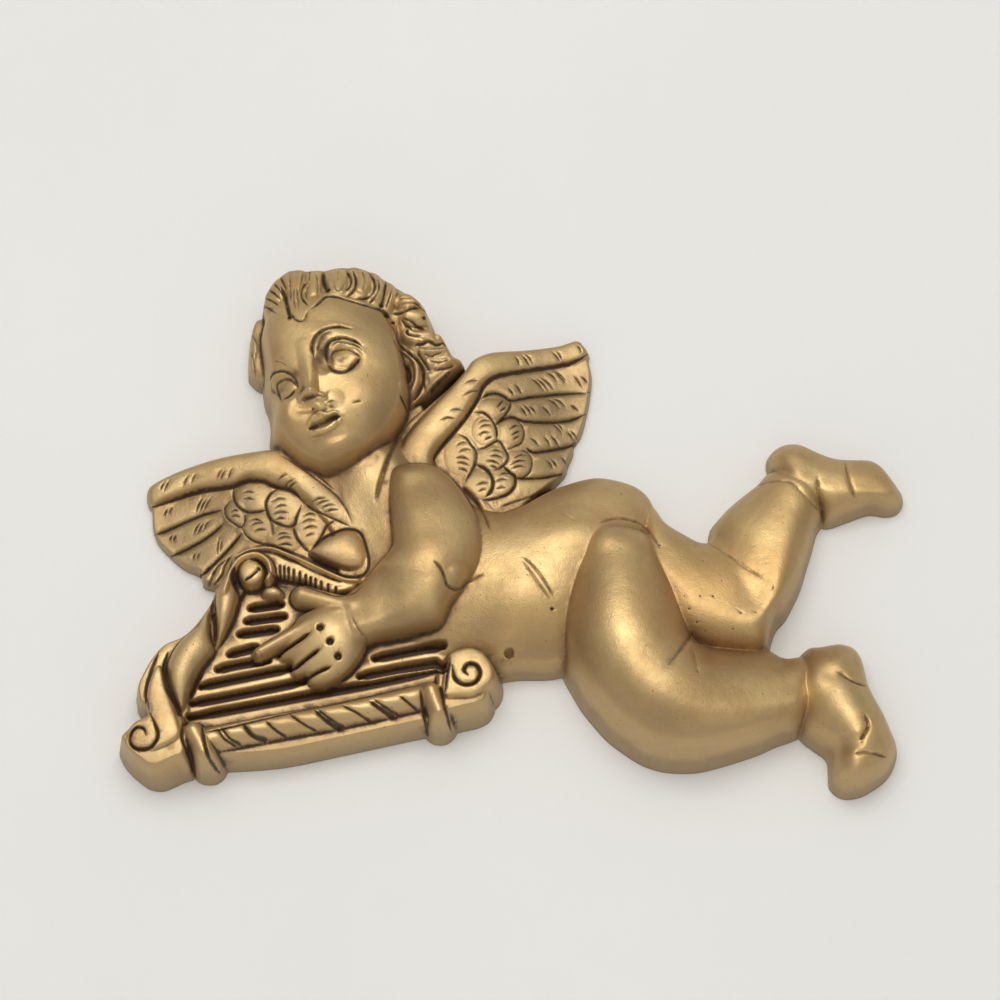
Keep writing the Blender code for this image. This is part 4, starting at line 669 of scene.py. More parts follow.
def foot_line(outline, rise, side, base):
    """The foot of a rounded form whose seen outline is given.

    The lower edge is seen at the foot itself. The upper edge is seen part of the way up the form,
    so the foot lies below it by the form's rise and roundness.
    """
    o = np.asarray(outline, float)
    q = np.stack(wall_point(o[:, 0], o[:, 1], base + (o[:, 2] if o.shape[1] == 3 else 0.0)), 1)
    following = np.roll(q, -1, axis=0)
    area = 0.5 * np.sum(q[:, 0] * following[:, 1] - following[:, 0] * q[:, 1])
    girth = np.sum(np.hypot(*(following - q).T))
    half_width = 1.3 * abs(area) / girth
    along = following - np.roll(q, 1, axis=0)
    along /= np.hypot(along[:, 0], along[:, 1])[:, None]
    outward = np.stack([along[:, 1], -along[:, 0]], 1) * math.copysign(1.0, area)
    upward = np.clip(outward[:, 1], 0.0, 1.0)
    round_rise = (1.0 - side) * rise * TAN * upward
    shift = side * rise * TAN * upward + np.sqrt(half_width ** 2 + round_rise ** 2) - half_width
    return smooth_line(q - outward * shift[:, None], 3 * len(q), closed=True)


def pillow(inset, step, rounds):
    """A membrane held at the outline and pushed up evenly, by repeated averaging."""
    u = np.clip(inset, 0.0, None) * inset.max()
    held = inset > 0
    for _ in range(rounds):
        v = np.zeros_like(u)
        v[1:-1, 1:-1] = u[:-2, 1:-1] + u[2:, 1:-1] + u[1:-1, :-2] + u[1:-1, 2:]
        u = np.where(held, 0.25 * v + step * step, 0.0)
    return u


def rounded(outline, crest, side=0.3, base=0.0, draft=WALL_DRAFT, coarse=1.5, fullness=0.5, rim=3.0,
            softness=0.0):
    """A fleshy form filling a seen outline; `side` is the upright share of its edge."""
    rise = float(np.max(crest)) - base
    foot = foot_line(outline, rise, side, base)
    fx, fz = foot[:, 0], foot[:, 1]
    cx = np.arange(fx.min() - 3 * coarse, fx.max() + 3 * coarse, coarse)
    cz = np.arange(fz.min() - 3 * coarse, fz.max() + 3 * coarse, coarse)
    inset = inside_distance(foot, *np.meshgrid(cx, cz))
    u = pillow(inset, coarse, int(2.5 * (inset.max() / coarse) ** 2) + 60)
    part = window(fx, fz, 6.0)
    gx, gz = X[part], Z[part]
    swell = np.clip(bilinear(u, gx, gz, cx[0], cz[0], coarse) / u.max(), 0.0, 1.0) ** fullness
    inset = inside_distance(foot, gx, gz)
    top = crest if np.isscalar(crest) else crest[part]
    height = base + (top - base) * (side + (1.0 - side) * swell)
    if softness:
        level = np.full(X.shape, base + side * rise)
        level[part] = height
        height = softened(level, softness)[part]
    out = np.full(X.shape, FAR_BELOW)
    inner = soft_min(height, base + draft * inset, rim)
    out[part] = np.where(inset > 0, inner, base + WALL_DRAFT * inset)
    return np.maximum(out, FAR_BELOW)


def limb(outline, spine, side=0.1, base=0.0, rim=6.0, fullness=0.5):
    """A fleshy form filling a seen outline and highest along a spine of (x, y, height)."""
    line = smooth_line(spine, 10 * len(spine))
    px, pz = wall_point(line[:, 0], line[:, 1], line[:, 2])
    foot = foot_line(outline, line[:, 2].max() - base, side, base)
    part = window(foot[:, 0], foot[:, 1], 6.0)
    gx, gz = X[part], Z[part]
    inset = inside_distance(foot, gx, gz)
    away, place = near_line(px, pz, gx, gz)
    crest = np.interp(place, np.linspace(0.0, 1.0, len(line)), line[:, 2])
    share = away / (away + np.clip(inset, 0.0, None) + 1e-6)
    level = np.full(X.shape, base + side * (line[:, 2].mean() - base))
    level[part] = base + (crest - base) * (side + (1.0 - side) * (1.0 - share * share) ** fullness)
    inner = soft_min(softened(level, LIMB_SOFTNESS)[part], base + WALL_DRAFT * inset, rim)
    out = np.full(X.shape, FAR_BELOW)
    out[part] = np.where(inset > 0, inner, base + WALL_DRAFT * inset)
    return np.maximum(out, FAR_BELOW)


def softened(field, radius):
    """The field blurred by a Gaussian of the given radius in millimetres."""
    up = np.fft.fftfreq(field.shape[0], GRID_STEP)[:, None]
    across = np.fft.rfftfreq(field.shape[1], GRID_STEP)[None, :]
    keep = np.exp(-2.0 * (math.pi * radius) ** 2 * (up ** 2 + across ** 2))
    return np.fft.irfft2(np.fft.rfft2(field) * keep, field.shape)


def bilinear(field, px, pz, left, low, step):
    fx = np.clip((np.asarray(px) - left) / step, 0, field.shape[1] - 1.001)
    fz = np.clip((np.asarray(pz) - low) / step, 0, field.shape[0] - 1.001)
    j, i = fx.astype(int), fz.astype(int)
    u, v = fx - j, fz - i
    near = field[i, j] * (1 - u) + field[i, j + 1] * u
    far = field[i + 1, j] * (1 - u) + field[i + 1, j + 1] * u
    return near * (1 - v) + far * v


def sample(field, px, pz):
    return bilinear(field, px, pz, XS[0], ZS[0], GRID_STEP)


def land(field, points):
    """Drop sheet points on to the relief along their sight lines; returns wall x, z."""
    p = np.asarray(points, float)
    height = np.zeros(len(p))
    found = np.zeros(len(p), bool)
    for level in np.arange(48.0, 0.0, -0.4):
        x, z = wall_point(p[:, 0], p[:, 1], level)
        hit = ~found & (sample(field, x, z) >= level)
        height[hit] = level
        found |= hit
    return wall_point(p[:, 0], p[:, 1], height)


def drawn(ground, points, reach):
    """The grid near a line drawn on the relief, its distance from the line and its place along it."""
    x, z = land(ground, smooth_line(points, 8 * len(points)))
    part = window(x, z, reach)
    return (part, *near_line(x, z, X[part], Z[part]))


def carve(field, ground, half, depth, soft, points, taper=0.14, ink=1.0):
    """Cut a groove along sheet points, shallower at its ends; `ground` is the surface it is drawn on."""
    half = max(half, 1.2 * GRID_STEP)
    part, away, place = drawn(ground, points, half + 3 * soft + 1)
    full = np.clip(np.minimum(place, 1.0 - place) / taper, 0.15, 1.0) ** 0.6
    cut = full * depth * np.clip(1.0 - away / (half * full), 0.0, 1.0) ** 1.1
    left = ink * min(1.0, 0.3 + 0.5 * depth) * np.clip(1.25 - away / (half * full), 0.0, 1.0)
    INK[part] = np.maximum(INK[part], left)
    if soft:
        cut = cut + 0.5 * full * depth * np.exp(-(away / soft) ** 2)
    field[part] -= cut


def slot(field, ground, half, floor, points):
    """Sink a slot with steep walls and narrowing ends down to a level floor."""
    part, away, place = drawn(ground, points, half + 3)
    reach = half * np.clip(np.minimum(place, 1.0 - place) / 0.1, 0.35, 1.0) ** 0.5
    field[part] = np.minimum(field[part], floor + SLOT_WALL * np.clip(away - reach, 0.0, None))
    INK[part] = np.maximum(INK[part], np.clip(1.55 - away / reach, 0.0, 1.0))


def lump(field, ground, x, y, half_x, half_z, rise, turn=0.0, fullness=1.6):
    """A soft swelling, or a hollow when the rise is negative."""
    cx, cz = land(ground, [(x, y)])
    part = window(cx, cz, max(half_x, half_z) + 1)
    c, s = math.cos(math.radians(turn)), math.sin(math.radians(turn))
    u = ((X[part] - cx[0]) * c + (Z[part] - cz[0]) * s) / half_x
    v = ((Z[part] - cz[0]) * c - (X[part] - cx[0]) * s) / half_z
    field[part] += rise * np.clip(1.0 - u * u - v * v, 0.0, 1.0) ** fullness


def ridge(field, ground, half, rise, end_half, end_rise, points):
    """A soft ridge that widens and rises along its line."""
    part, away, place = drawn(ground, points, max(half, end_half) + 1)
    reach = half + (end_half - half) * place
    lift = rise + (end_rise - rise) * place * place
    field[part] += lift * np.clip(1.0 - (away / reach) ** 2, 0.0, 1.0) ** 1.5


def strand(field, ground, half, rise, points):
    """A rounded ridge laid on the surface."""
    part, away, place = drawn(ground, points, half + 1)
    full = np.clip(np.minimum(place, 1.0 - place) / 0.15, 0.2, 1.0) ** 0.5
    field[part] += full * rise * np.clip(1.0 - (away / half) ** 2, 0.0, 1.0) ** 0.75


def finger(field, half, tip, high, end, points):
    """A finger lying on the strings, narrower and lower at its tip."""
    line = smooth_line(points, 8 * len(points))
    x, z = wall_point(line[:, 0], line[:, 1], np.linspace(high, end, len(line)) - 0.4 * half)
    part = window(x, z, half + 3)
    away, place = near_line(x, z, X[part], Z[part])
    reach = half + (tip - half) * place
    crest = high + (end - high) * place
    arch = FINGER_BASE + (crest - FINGER_BASE) * np.clip(1.0 - (away / reach) ** 2, 0.0, 1.0) ** 0.5
    shape = np.where(away < reach, arch, FINGER_BASE - WALL_DRAFT * (away - reach))
    field[part] = np.maximum(field[part], shape)


def bar(field, points, seen_height, half, low, high):
    """A half-round bar through sheet points seen at a known height."""
    line = smooth_line(points, 8 * len(points))
    x, z = wall_point(line[:, 0], line[:, 1], seen_height)
    part = window(x, z, half + 3)
    away = near_line(x, z, X[part], Z[part])[0]
    arch = low + (high - low) * np.sqrt(np.clip(1.0 - (away / half) ** 2, 0.0, 1.0))
    shape = np.where(away < half, arch, low - WALL_DRAFT * (away - half))
    field[part] = np.maximum(field[part], shape)


def run_between(start, end):
    """A level that changes smoothly from start to end, each (x, y, value)."""
    ax, az = wall_point(start[0], start[1], 12.0)
    bx, bz = wall_point(end[0], end[1], 12.0)
    ex, ez = bx - ax, bz - az
    share = np.clip(((X - ax) * ex + (Z - az) * ez) / (ex * ex + ez * ez), 0.0, 1.0)
    return start[2] + (end[2] - start[2]) * share * share * (3 - 2 * share)


def carve_all(field, lines, ink=1.0):
    ground = field.copy()
    for half, depth, soft, points in lines:
        carve(field, ground, half, depth, soft, points, 0.14, ink)


def pit(field, ground, x, y, radius):
    lump(field, ground, x, y, radius, radius, -1.7 * radius, 0.0, 0.6)
    cx, cz = land(ground, [(x, y)])
    INK[:] = np.maximum(INK, np.clip(1.5 - np.hypot(X - cx[0], Z - cz[0]) / radius, 0.0, 1.0))


def body_forms():
    """Torso, neck and shoulders, both legs and both feet."""
    torso = rounded(TORSO, run_between(*TORSO_LEVEL), 0.1, rim=8.0, softness=2.0)
    neck = plate([(x, y, 14.0) for x, y in SHOULDERS], 0.3 + shoulder_level(), 2.0)
    trunk = soft_max(torso, neck, 5.0)
    far = soft_max(limb(FAR_LEG, FAR_LEG_CREST), limb(FAR_FOOT, FAR_FOOT_CREST), 2.5)
    near = soft_max(limb(NEAR_LEG, NEAR_LEG_CREST), limb(NEAR_FOOT, NEAR_FOOT_CREST), 2.0)
    return np.maximum(trunk, np.maximum(far, near))


def shoulder_level():
    """The neck and shoulders, highest under the chin and falling to both wings."""
    left, right = SHOULDER_LEVELS
    return np.minimum(run_between(*left), run_between(*right))


def head_forms():
    hair = rounded(HAIR, run_between(*HAIR_LEVEL), 0.45)
    beside_ear = rounded(EAR_HAIR, run_between(*EAR_HAIR_LEVEL), 0.55, 10.0)
    hair = soft_max(hair, beside_ear, 1.5)
    ground = hair.copy()
    for half, rise, points in LOCKS:
        strand(hair, ground, half, LOCK_LIFT * rise, points)
    hair = np.maximum(hair, rounded(SIDE_HAIR, 15.0, 0.7))
    return soft_max(hair, rounded(FACE, 39.5, 0.12, 20.0, 4.5, fullness=0.47, softness=2.6), 0.8)


def wing(outline, level, band, drop):
    """A wing: a plate whose level falls toward its tips, with a raised leading band."""
    seen = [(x, y, level_at(x, y, level) - (drop if k < len(band) // 2 else 0.0))
            for k, (x, y) in enumerate(band)]
    raised = rounded(seen, 5.2, 0.15, 0.0, 2.4, rim=1.5)
    raised = np.where(raised > FAR_BELOW, level + raised, raised)
    return soft_max(plate(outline, level, 0.8, 12.0), raised, 0.5)


def level_at(x, y, level):
    px, pz = wall_point(x, y, 10.0)
    return float(sample(level, [px], [pz])[0])


def wing_forms(field):
    """Both wings as plates with a raised leading band, and the leaf below the left one."""
    right = wing(RIGHT_WING, run_between(*RIGHT_WING_LEVEL), RIGHT_BAND, -2.0)
    left = wing(LEFT_WING, run_between(*LEFT_WING_LEVEL), LEFT_BAND, 0.0)
    field = np.maximum(field, np.maximum(right, left))
    return np.maximum(field, rounded(LEAF, 22.5, 0.25, 14.0, coarse=1.0, fullness=0.4))


def wing_carving(field):
    """Overlapping scales, the grooves between feathers and the short barb marks."""
    ground = field.copy()
    for x, y, wide, tall in SCALES:
        lump(field, ground, x, y, 0.5 * wide, 0.5 * tall, SCALE_RISE, 0.0, 0.8)
    carve_all(field, WING_LINES)
    ground = field.copy()
    for x0, y0, x1, y1 in SHORT_CUTS:
        bend = CUT_BEND * abs(x1 - x0)
        middle = (0.5 * (x0 + x1), 0.5 * (y0 + y1) - bend)
        carve(field, ground, CUT_HALF, CUT_DEPTH, 0.0, [(x0, y0), middle, (x1, y1)], CUT_TAPER)


def harp_forms(field):
    """String board, side frame, base with rail and rope moulding, volutes, collars and sound arm."""
    for outline, top in HARP_PLATES:
        field = np.maximum(field, plate(outline, top, 0.8))
    field = np.maximum(field, plate(LEFT_BLOCK, 25.5, 1.8, 6.5))
    bar(field, ROPE_AXIS, 22.0, 5.0, 17.0, 25.5)
    for half, points in (LEFT_COLLAR, RIGHT_COLLAR):
        bar(field, points, 27.0, half, 22.0, 28.5)
    for outline, top, side, base in HARP_ROUNDS:
        field = np.maximum(field, rounded(outline, top, side, base, coarse=1.0))
    bar(field, SOUND_ARM_RIM, 22.0, 0.9, 21.5, 24.0)
    bar(field, VOLUTE_CURL, 26.0, 1.5, 22.0, 27.6)
    return field


def string_slots(field):
    ground = field.copy()
    for points in STRING_SLOTS:
        slot(field, ground, SLOT_HALF, SLOT_FLOOR, points)


def harp_carving(field):
    carve_all(field, HARP_LINES)
    ground = field.copy()
    for k, points in enumerate(ROPE_TWISTS):
        carve(field, ground, 1.0 if k % 3 == 2 else 0.6, 1.8 if k % 3 == 2 else 1.2, 1.2, points)
    tops, feet = smooth_line(DENTIL_TOP, 100), smooth_line(DENTIL_FOOT, 100)
    for k in range(DENTILS):
        place = int(99 * (k + 0.5) / DENTILS)
        carve(field, ground, 0.65, 1.5, 0.0, [tops[place], feet[place]])
    for x, y, radius in HARP_PITS:
        pit(field, ground, x, y, radius)


def arm_and_hand(field):
    """The arm that crosses the strings and the hand that plucks them."""
    arm = limb(ARM, ARM_CREST, 0.1, 14.0, 4.0, 0.42)
    hand = rounded(HAND, run_between(*HAND_LEVEL), 0.15, 15.0, 12.0, 1.0, 0.45)
    fingers = np.full(X.shape, FAR_BELOW)
    for half, tip, high, end, points in FINGERS:
        finger(fingers, half, tip, high, end, points)
    limbs = soft_max(arm, soft_max(hand, fingers, 1.4), 6.0)
    INK[limbs > field] = 0.0
    return np.maximum(field, limbs)


def head_carving(field):
    ground = field.copy()
    for form in FACE_FORMS:
        lump(field, ground, *form)
    ridge(field, ground, *NOSE)
    ground = field.copy()
    for feature in FACE_FEATURES:
        lump(field, ground, *feature)
    for half, rise, points in LIPS:
        strand(field, ground, half, rise, points)
    ground = field.copy()
    strand(field, ground, 1.4, 1.5, EAR_RIM)
    for points in LIDS:
        strand(field, ground, 1.0, 0.7, points)
    carve_all(field, HEAD_LINES, HEAD_INK)
    ground = field.copy()
    for x, y, radius in HEAD_PITS:
        pit(field, ground, x, y, radius)


def body_carving(field):
    ground = field.copy()
    for form in BODY_FORMS:
        lump(field, ground, *form)
    for x, y, radius in KNUCKLE_HOLES:
        pit(field, ground, x, y, radius)
    for x, y, radius in CASTING_PITS:
        pit(field, ground, x, y, radius)
    carve_all(field, FINGER_GAPS)
    carve_all(field, BODY_LINES, BODY_INK)


def relief():
    """Height of the casting above the wall over the whole grid; below zero is off the casting."""
    field = np.maximum(body_forms(), head_forms())
    field = wing_forms(field)
    field = harp_forms(field)
    string_slots(field)
    field = softened(arm_and_hand(field), DETAIL_BLUR)
    wing_carving(field)
    harp_carving(field)
    head_carving(field)
    body_carving(field)
    return np.maximum(field, FAR_BELOW)


def patches(places):
    """Soft round patches on the wall plane, from sheet points."""
    out = np.zeros(X.shape)
    for x, y, reach, strength in places:
        px, pz = wall_point(x, y, 25.0)
        out = np.maximum(out, strength * np.exp(-((X - px) ** 2 + (Z - pz) ** 2) / reach ** 2))
    return out


def finish_fields(field):
    """Where the wash stays, where it stains, and where the paint is rubbed, warm or duller.
    Painted shade darkens the wide hollows, the steep slopes, the outer side walls and some patches.
    """
    ground = np.maximum(field, 0.0)
    # near the outline, on the outer side walls, the side share paints the colour greyer and darker: painted
    # shade
    inside = softened((field > 0.0).astype(float), 1.6)
    away = np.clip((inside - 0.62) / 0.33, 0.0, 1.0)
    worn = 1.0 - 0.75 * patches(SMOOTH_PLACES)
    fine = worn * np.clip((softened(ground, 0.7) - ground - 0.06) / 0.6, 0.0, 1.0)
    middle = worn * away * np.clip((softened(ground, 2.0) - ground - 0.3) / 3.0, 0.0, 0.75)
    # wide hollows turn brown: partly staining, partly painted shade
    broad_stain_and_shade = away * np.clip((softened(ground, 6.0) - ground - 0.4) / 6.0, 0.0, 0.9)
    proud = np.clip((ground - softened(ground, 1.2) - 0.08) / 0.5, 0.0, 1.0)
    # steepness of the relief, where a darker gold is painted as shade
    up, across = np.gradient(softened(ground, 1.3), GRID_STEP)
    tilt = np.degrees(np.arctan(np.hypot(up, across)))
    # heavy wash spots: partly real wash, partly painted shade
    heavy_wash_and_shade = patches(THICK_WASH_AND_SHADE)
    return {"wash": np.maximum(np.maximum(INK, 0.7 * heavy_wash_and_shade), away * np.maximum(fine, middle)),
            "stain_and_shade": np.maximum(broad_stain_and_shade, heavy_wash_and_shade), "proud": proud,
            "side": 1.0 - away, "flank_shade": np.clip((tilt - 28.0) / 32.0, 0.0, 1.0),
            "warm": patches(WARM_PATCHES), "dull_and_shade": patches(DULL_AND_SHADE_PATCHES)}


def raised_mesh(field):
    """The part of the grid that rises above the wall, as a mesh in metres."""
    top = np.maximum(np.maximum(field[:-1, :-1], field[:-1, 1:]), np.maximum(field[1:, :-1], field[1:, 1:]))
    row, column = np.nonzero(top > 0.0)
    wide = len(XS)
    first = row * wide + column
    corners = np.stack([first, first + 1, first + 1 + wide, first + wide], 1)
    used, faces = np.unique(corners, return_inverse=True)
    raised = np.stack([X.ravel()[used] - ORIGIN_X, -field.ravel()[used], Z.ravel()[used] - ORIGIN_Z], 1)
    mesh = bpy.data.meshes.new("plaque_front")
    mesh.from_pydata((raised * MM).tolist(), [], faces.reshape(-1, 4).tolist())
    return mesh


def reduced(mesh, triangles):
    """The same mesh with fewer triangles, kept dense where the relief bends."""
    sheet = bpy.data.objects.new("plaque_front", mesh)
    bpy.context.scene.collection.objects.link(sheet)
    collapse = sheet.modifiers.new("collapse", "DECIMATE")
    collapse.ratio = min(1.0, triangles / (2.0 * len(mesh.polygons)))
    made = bpy.data.meshes.new_from_object(sheet.evaluated_get(bpy.context.evaluated_depsgraph_get()))
    bpy.data.objects.remove(sheet, do_unlink=True)
    return made


def close_back(mesh):
    """Cut the mesh off at the wall plane, fill the cut with the flat back and smooth the front.

    Every rim is filled by itself. The slot between hair and right wing reaches the wall plane, so its
    own small fill lies on the large one there and shows as a thin dark line on the back.
    """
    work = bmesh.new()
    work.from_mesh(mesh)
    everything = work.verts[:] + work.edges[:] + work.faces[:]
    bmesh.ops.bisect_plane(work, geom=everything, dist=1e-7, plane_co=(0, 0, 0), plane_no=(0, 1, 0),
                           clear_outer=True)
    bmesh.ops.remove_doubles(work, verts=work.verts, dist=WELD)
    bmesh.ops.dissolve_degenerate(work, edges=work.edges, dist=WELD)
    rim = [edge for edge in work.edges if edge.is_boundary]
    for face in work.faces:
        face.smooth = True
    back = bmesh.ops.edgeloop_fill(work, edges=rim)["faces"]
    for face in back:
        face.smooth = False
        face.material_index = 1
    bmesh.ops.triangulate(work, faces=back)
    bmesh.ops.recalc_face_normals(work, faces=work.faces)
    for edge in rim:
        if edge.is_valid:
            edge.smooth = False
    work.to_mesh(mesh)
    work.free()


def store(mesh, fields):
    """Keep each field on the mesh as a value per vertex."""
    place = np.empty(3 * len(mesh.vertices))
    mesh.vertices.foreach_get("co", place)
    place = place.reshape(-1, 3) / MM
    for name, field in fields.items():
        kept = mesh.attributes.new(name, "FLOAT", "POINT")
        kept.data.foreach_set("value", sample(field, place[:, 0] + ORIGIN_X, place[:, 2] + ORIGIN_Z))


def add(tree, kind, **values):
    """A node with some of its inputs set; a value that is a socket is linked."""
    made = tree.nodes.new(kind)
    for name, value in values.items():
        socket = made.inputs[int(name[1:])] if name[0] == "i" and name[1:].isdigit() else made.inputs[name]
        if isinstance(value, bpy.types.NodeSocket):
            tree.links.new(value, socket)
        else:
            socket.default_value = value
    return made


def field_value(tree, name):
    kept = tree.nodes.new("ShaderNodeAttribute")
    kept.attribute_name = name
    return kept.outputs["Fac"]


def noise(tree, scale, detail=3.0, roughness=0.5, squash=None):
    """Noise in the object's own space; `squash` stretches it along the axes."""
    where = tree.nodes.new("ShaderNodeTexCoord").outputs["Object"]
    if squash:
        where = add(tree, "ShaderNodeMapping", Vector=where, Scale=squash).outputs["Vector"]
    made = add(tree, "ShaderNodeTexNoise", Vector=where, Scale=scale, Detail=detail, Roughness=roughness)
    return made.outputs["Fac"]


def spread(tree, value, low, high, to_low=0.0, to_high=1.0):
    """The value stretched so that low..high becomes to_low..to_high, and held there."""
    made = add(tree, "ShaderNodeMapRange", Value=value)
    for name, number in (("From Min", low), ("From Max", high), ("To Min", to_low), ("To Max", to_high)):
        made.inputs[name].default_value = number
    return made.outputs["Result"]


def sum_of(tree, first, second, kind="ADD"):
    made = add(tree, "ShaderNodeMath", i0=first, i1=second)
    made.operation = kind
    return made.outputs["Value"]


def tinted(tree, share, first, second):
    """First colour turning to the second as the share goes from 0 to 1."""
    made = tree.nodes.new("ShaderNodeMix")
    made.data_type = "RGBA"
    for index, value in ((0, share), (6, first), (7, second)):
        if isinstance(value, bpy.types.NodeSocket):
            tree.links.new(value, made.inputs[index])
        else:
            made.inputs[index].default_value = value
    return made.outputs[2]


def antique_gold():
    """Gold paint rubbed over a dark wash, on a slightly uneven casting, with painted shade on steep
    slopes, on the outer side walls, in wide hollows and in some patches.
    """
    material = bpy.data.materials.new("antique_gold_relief")
    material.use_nodes = True
    tree = material.node_tree
    shader = tree.nodes["Principled BSDF"]
    mottle = noise(tree, *MOTTLE)
    smear = noise(tree, *SMEAR)
    grain = noise(tree, *GRAIN)
    specks = noise(tree, *SPECKS)
    colour = tinted(tree, spread(tree, mottle, 0.38, 0.66), GOLD, DEEP_GOLD)
    colour = tinted(tree, field_value(tree, "warm"), colour, WARM_GOLD)
    # duller patches: partly patina, partly painted shade
    colour = tinted(tree, field_value(tree, "dull_and_shade"), colour, DULL_AND_SHADED_GOLD)
    # steep slopes turn darker gold: painted shade
    colour = tinted(tree, sum_of(tree, field_value(tree, "flank_shade"), 0.85, "MULTIPLY"), colour, SHADED_FLANK_GOLD)
    # brown in wide hollows and heavy wash spots: partly staining, partly painted shade
    stain_and_shade = sum_of(tree, field_value(tree, "stain_and_shade"), spread(tree, smear, 0.3, 0.7, 0.55, 1.15), "MULTIPLY")
    colour = tinted(tree, stain_and_shade, colour, BROWN_AND_SHADE)
    colour = tinted(tree, sum_of(tree, field_value(tree, "proud"), 0.35, "MULTIPLY"), colour, GOLD)
    # outer side walls turn greyer and darker: painted shade
    colour = tinted(tree, sum_of(tree, field_value(tree, "side"), 0.75, "MULTIPLY"), colour, SHADED_SIDE_GOLD)
    left = sum_of(tree, field_value(tree, "wash"), spread(tree, smear, 0.35, 0.65, -0.16, 0.14))
    left = spread(tree, left, 0.15, 0.75)
    dots = spread(tree, specks, 0.71, 0.77, 0.0, 0.8)
    left = sum_of(tree, left, dots, "MAXIMUM")
    colour = tinted(tree, left, colour, WASH_COLOUR)
    tree.links.new(colour, shader.inputs["Base Color"])
    # the outer side walls lose metal, as part of their painted shade
    metal = sum_of(tree, spread(tree, left, 0.0, 1.0, 0.9, 0.25),
                   spread(tree, field_value(tree, "side"), 0.0, 1.0, 1.0, 0.45), "MULTIPLY")
    # steep slopes also lose some metal, as part of the painted shade
    metal = sum_of(tree, metal, spread(tree, field_value(tree, "flank_shade"), 0.0, 1.0, 1.0, 0.8), "MULTIPLY")
    tree.links.new(metal, shader.inputs["Metallic"])
    rough = spread(tree, mottle, 0.3, 0.7, 0.44, 0.54)
    rough = sum_of(tree, rough, spread(tree, smear, 0.3, 0.7, -0.03, 0.05))
    rough = sum_of(tree, rough, sum_of(tree, left, 0.16, "MULTIPLY"))
    tree.links.new(rough, shader.inputs["Roughness"])
    uneven = add(tree, "ShaderNodeBump", Height=smear, Strength=0.35, Distance=0.0006)
    fine = add(tree, "ShaderNodeBump", Height=grain, Strength=0.5, Distance=0.0002,
               Normal=uneven.outputs["Normal"])
    tree.links.new(fine.outputs["Normal"], shader.inputs["Normal"])
    return material


def raw_back():
    """The flat back: bare casting, thinly stained brown."""
    material = bpy.data.materials.new("raw_back")
    material.use_nodes = True
    tree = material.node_tree
    shader = tree.nodes["Principled BSDF"]
    cloud = noise(tree, *CLOUD)
    darker = tuple(0.62 * part for part in BACK_COLOUR[:3]) + (1.0,)
    colour = tinted(tree, spread(tree, cloud, 0.35, 0.65), BACK_COLOUR, darker)
    tree.links.new(colour, shader.inputs["Base Color"])
    tree.links.new(spread(tree, cloud, 0.3, 0.7, 0.62, 0.8), shader.inputs["Roughness"])
    pores = add(tree, "ShaderNodeBump", Height=noise(tree, *PORES), Strength=0.5, Distance=0.0003)
    tree.links.new(pores.outputs["Normal"], shader.inputs["Normal"])
    return material


def wall_paint():
    """Matt pale paint seen from the front; from behind, and within a hair of the casting, it is clear."""
    material = bpy.data.materials.new("pale_wall")
    material.use_nodes = True
    tree = material.node_tree
    tree.nodes.remove(tree.nodes["Principled BSDF"])
    tone = spread(tree, noise(tree, 6.0, 3.0, 0.5), 0.3, 0.7)
    matt = add(tree, "ShaderNodeBsdfDiffuse", Color=tinted(tree, tone, WALL_PALE, WALL_SHADE))
    near = tree.nodes.new("ShaderNodeLightPath").outputs["Ray Length"]
    close = sum_of(tree, near, WALL_CLEARANCE, "LESS_THAN")
    behind = tree.nodes.new("ShaderNodeNewGeometry").outputs["Backfacing"]
    clear = add(tree, "ShaderNodeMixShader", i0=sum_of(tree, close, behind, "MAXIMUM"), i1=matt.outputs[0],
                i2=add(tree, "ShaderNodeBsdfTransparent").outputs[0])
    tree.links.new(clear.outputs[0], tree.nodes["Material Output"].inputs["Surface"])
    return material


def build_stage():
    profile = [(WALL_GAP, WALL_TOP)]
    for k in range(SWEEP_PARTS + 1):
        turn = math.radians(90.0 * k / SWEEP_PARTS)
        profile.append((WALL_GAP - SWEEP_RADIUS * (1.0 - math.cos(turn)),
                        FLOOR_LEVEL + SWEEP_RADIUS * (1.0 - math.sin(turn))))
    profile.append((FLOOR_REACH, FLOOR_LEVEL))
    corners = [(side * STAGE_HALF_WIDTH, y, z) for y, z in profile for side in (-1, 1)]
    faces = [(2 * k, 2 * k + 2, 2 * k + 3, 2 * k + 1) for k in range(len(profile) - 1)]
    mesh = bpy.data.meshes.new("backdrop")
    mesh.from_pydata(corners, [], faces)
    mesh.shade_smooth()
    mesh.materials.append(wall_paint())
    backdrop = bpy.data.objects.new("backdrop", mesh)
    bpy.context.scene.collection.objects.link(backdrop)


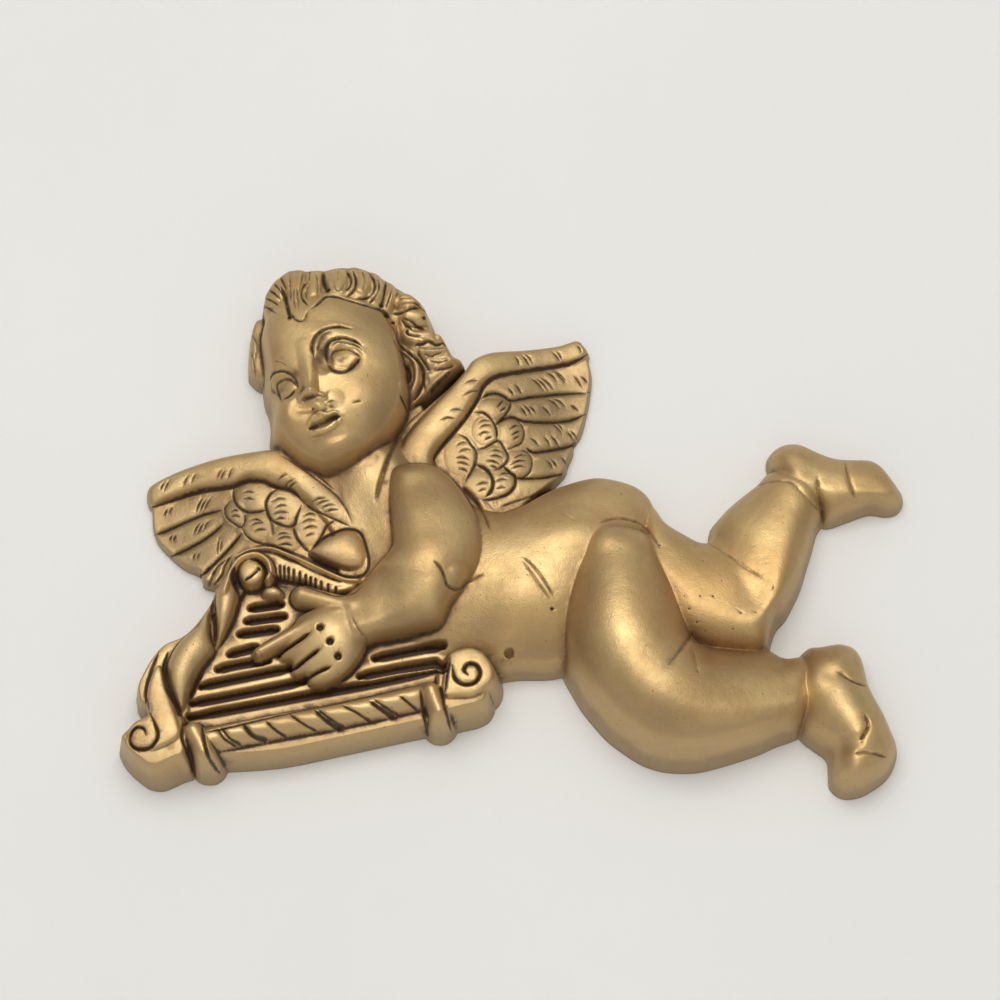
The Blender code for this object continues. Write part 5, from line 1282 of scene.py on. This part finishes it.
def build_lights():
    for name, turn, rise, distance, wide, tall, watts, colour in LIGHTS:
        lamp = bpy.data.lights.new(name, "AREA")
        lamp.shape = "RECTANGLE"
        lamp.size, lamp.size_y = wide, tall
        lamp.energy = watts
        lamp.color = colour
        light = bpy.data.objects.new(name, lamp)
        a, e = math.radians(turn), math.radians(rise)
        light.location = (AIM[0] + distance * math.sin(a) * math.cos(e),
                          -distance * math.cos(a) * math.cos(e), AIM[2] + distance * math.sin(e))
        light.rotation_euler = aimed(light.location)
        bpy.context.scene.collection.objects.link(light)
    world = bpy.data.worlds.new("room")
    world.use_nodes = True
    world.node_tree.nodes["Background"].inputs["Color"].default_value = WORLD_COLOUR
    toward = add(world.node_tree, "ShaderNodeVectorMath", i0=world.node_tree.nodes.new(
        "ShaderNodeTexCoord").outputs["Generated"], i1=WORLD_FACING)
    toward.operation = "DOT_PRODUCT"
    facing = spread(world.node_tree, toward.outputs["Value"], 0.0, 1.0)
    facing = sum_of(world.node_tree, facing, 2.0, "POWER")
    level = spread(world.node_tree, facing, 0.0, 1.0, WORLD_DIM, WORLD_DIM + WORLD_FRONT)
    world.node_tree.links.new(level, world.node_tree.nodes["Background"].inputs["Strength"])
    bpy.context.scene.world = world
    bpy.context.scene.view_settings.view_transform = "Standard"


def aimed(place):
    """The turn that points a light or camera from its place at the aim."""
    away = type(place)(AIM) - place
    return away.to_track_quat("-Z", "Y").to_euler()


def build_camera():
    lens = bpy.data.cameras.new("camera")
    lens.lens = LENS
    lens.sensor_width = SENSOR_WIDTH
    camera = bpy.data.objects.new("camera", lens)
    reach = SIGHT_DISTANCE * MM
    camera.location = (AIM[0], -reach * COS, AIM[2] - reach * SIN)
    camera.rotation_euler = aimed(camera.location)
    bpy.context.scene.collection.objects.link(camera)
    bpy.context.scene.camera = camera


def build_plaque():
    lay_grid(FINE_STEP)
    field = relief()
    mesh = reduced(raised_mesh(field), TRIANGLES)
    mesh.name = "plaque"
    mesh.materials.append(antique_gold())
    mesh.materials.append(raw_back())
    close_back(mesh)
    store(mesh, finish_fields(field))
    plaque = bpy.data.objects.new("plaque", mesh)
    bpy.context.scene.collection.objects.link(plaque)
    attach(plaque, "root")
    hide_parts(NODE)


build_plaque()
build_stage()
build_lights()
build_camera()
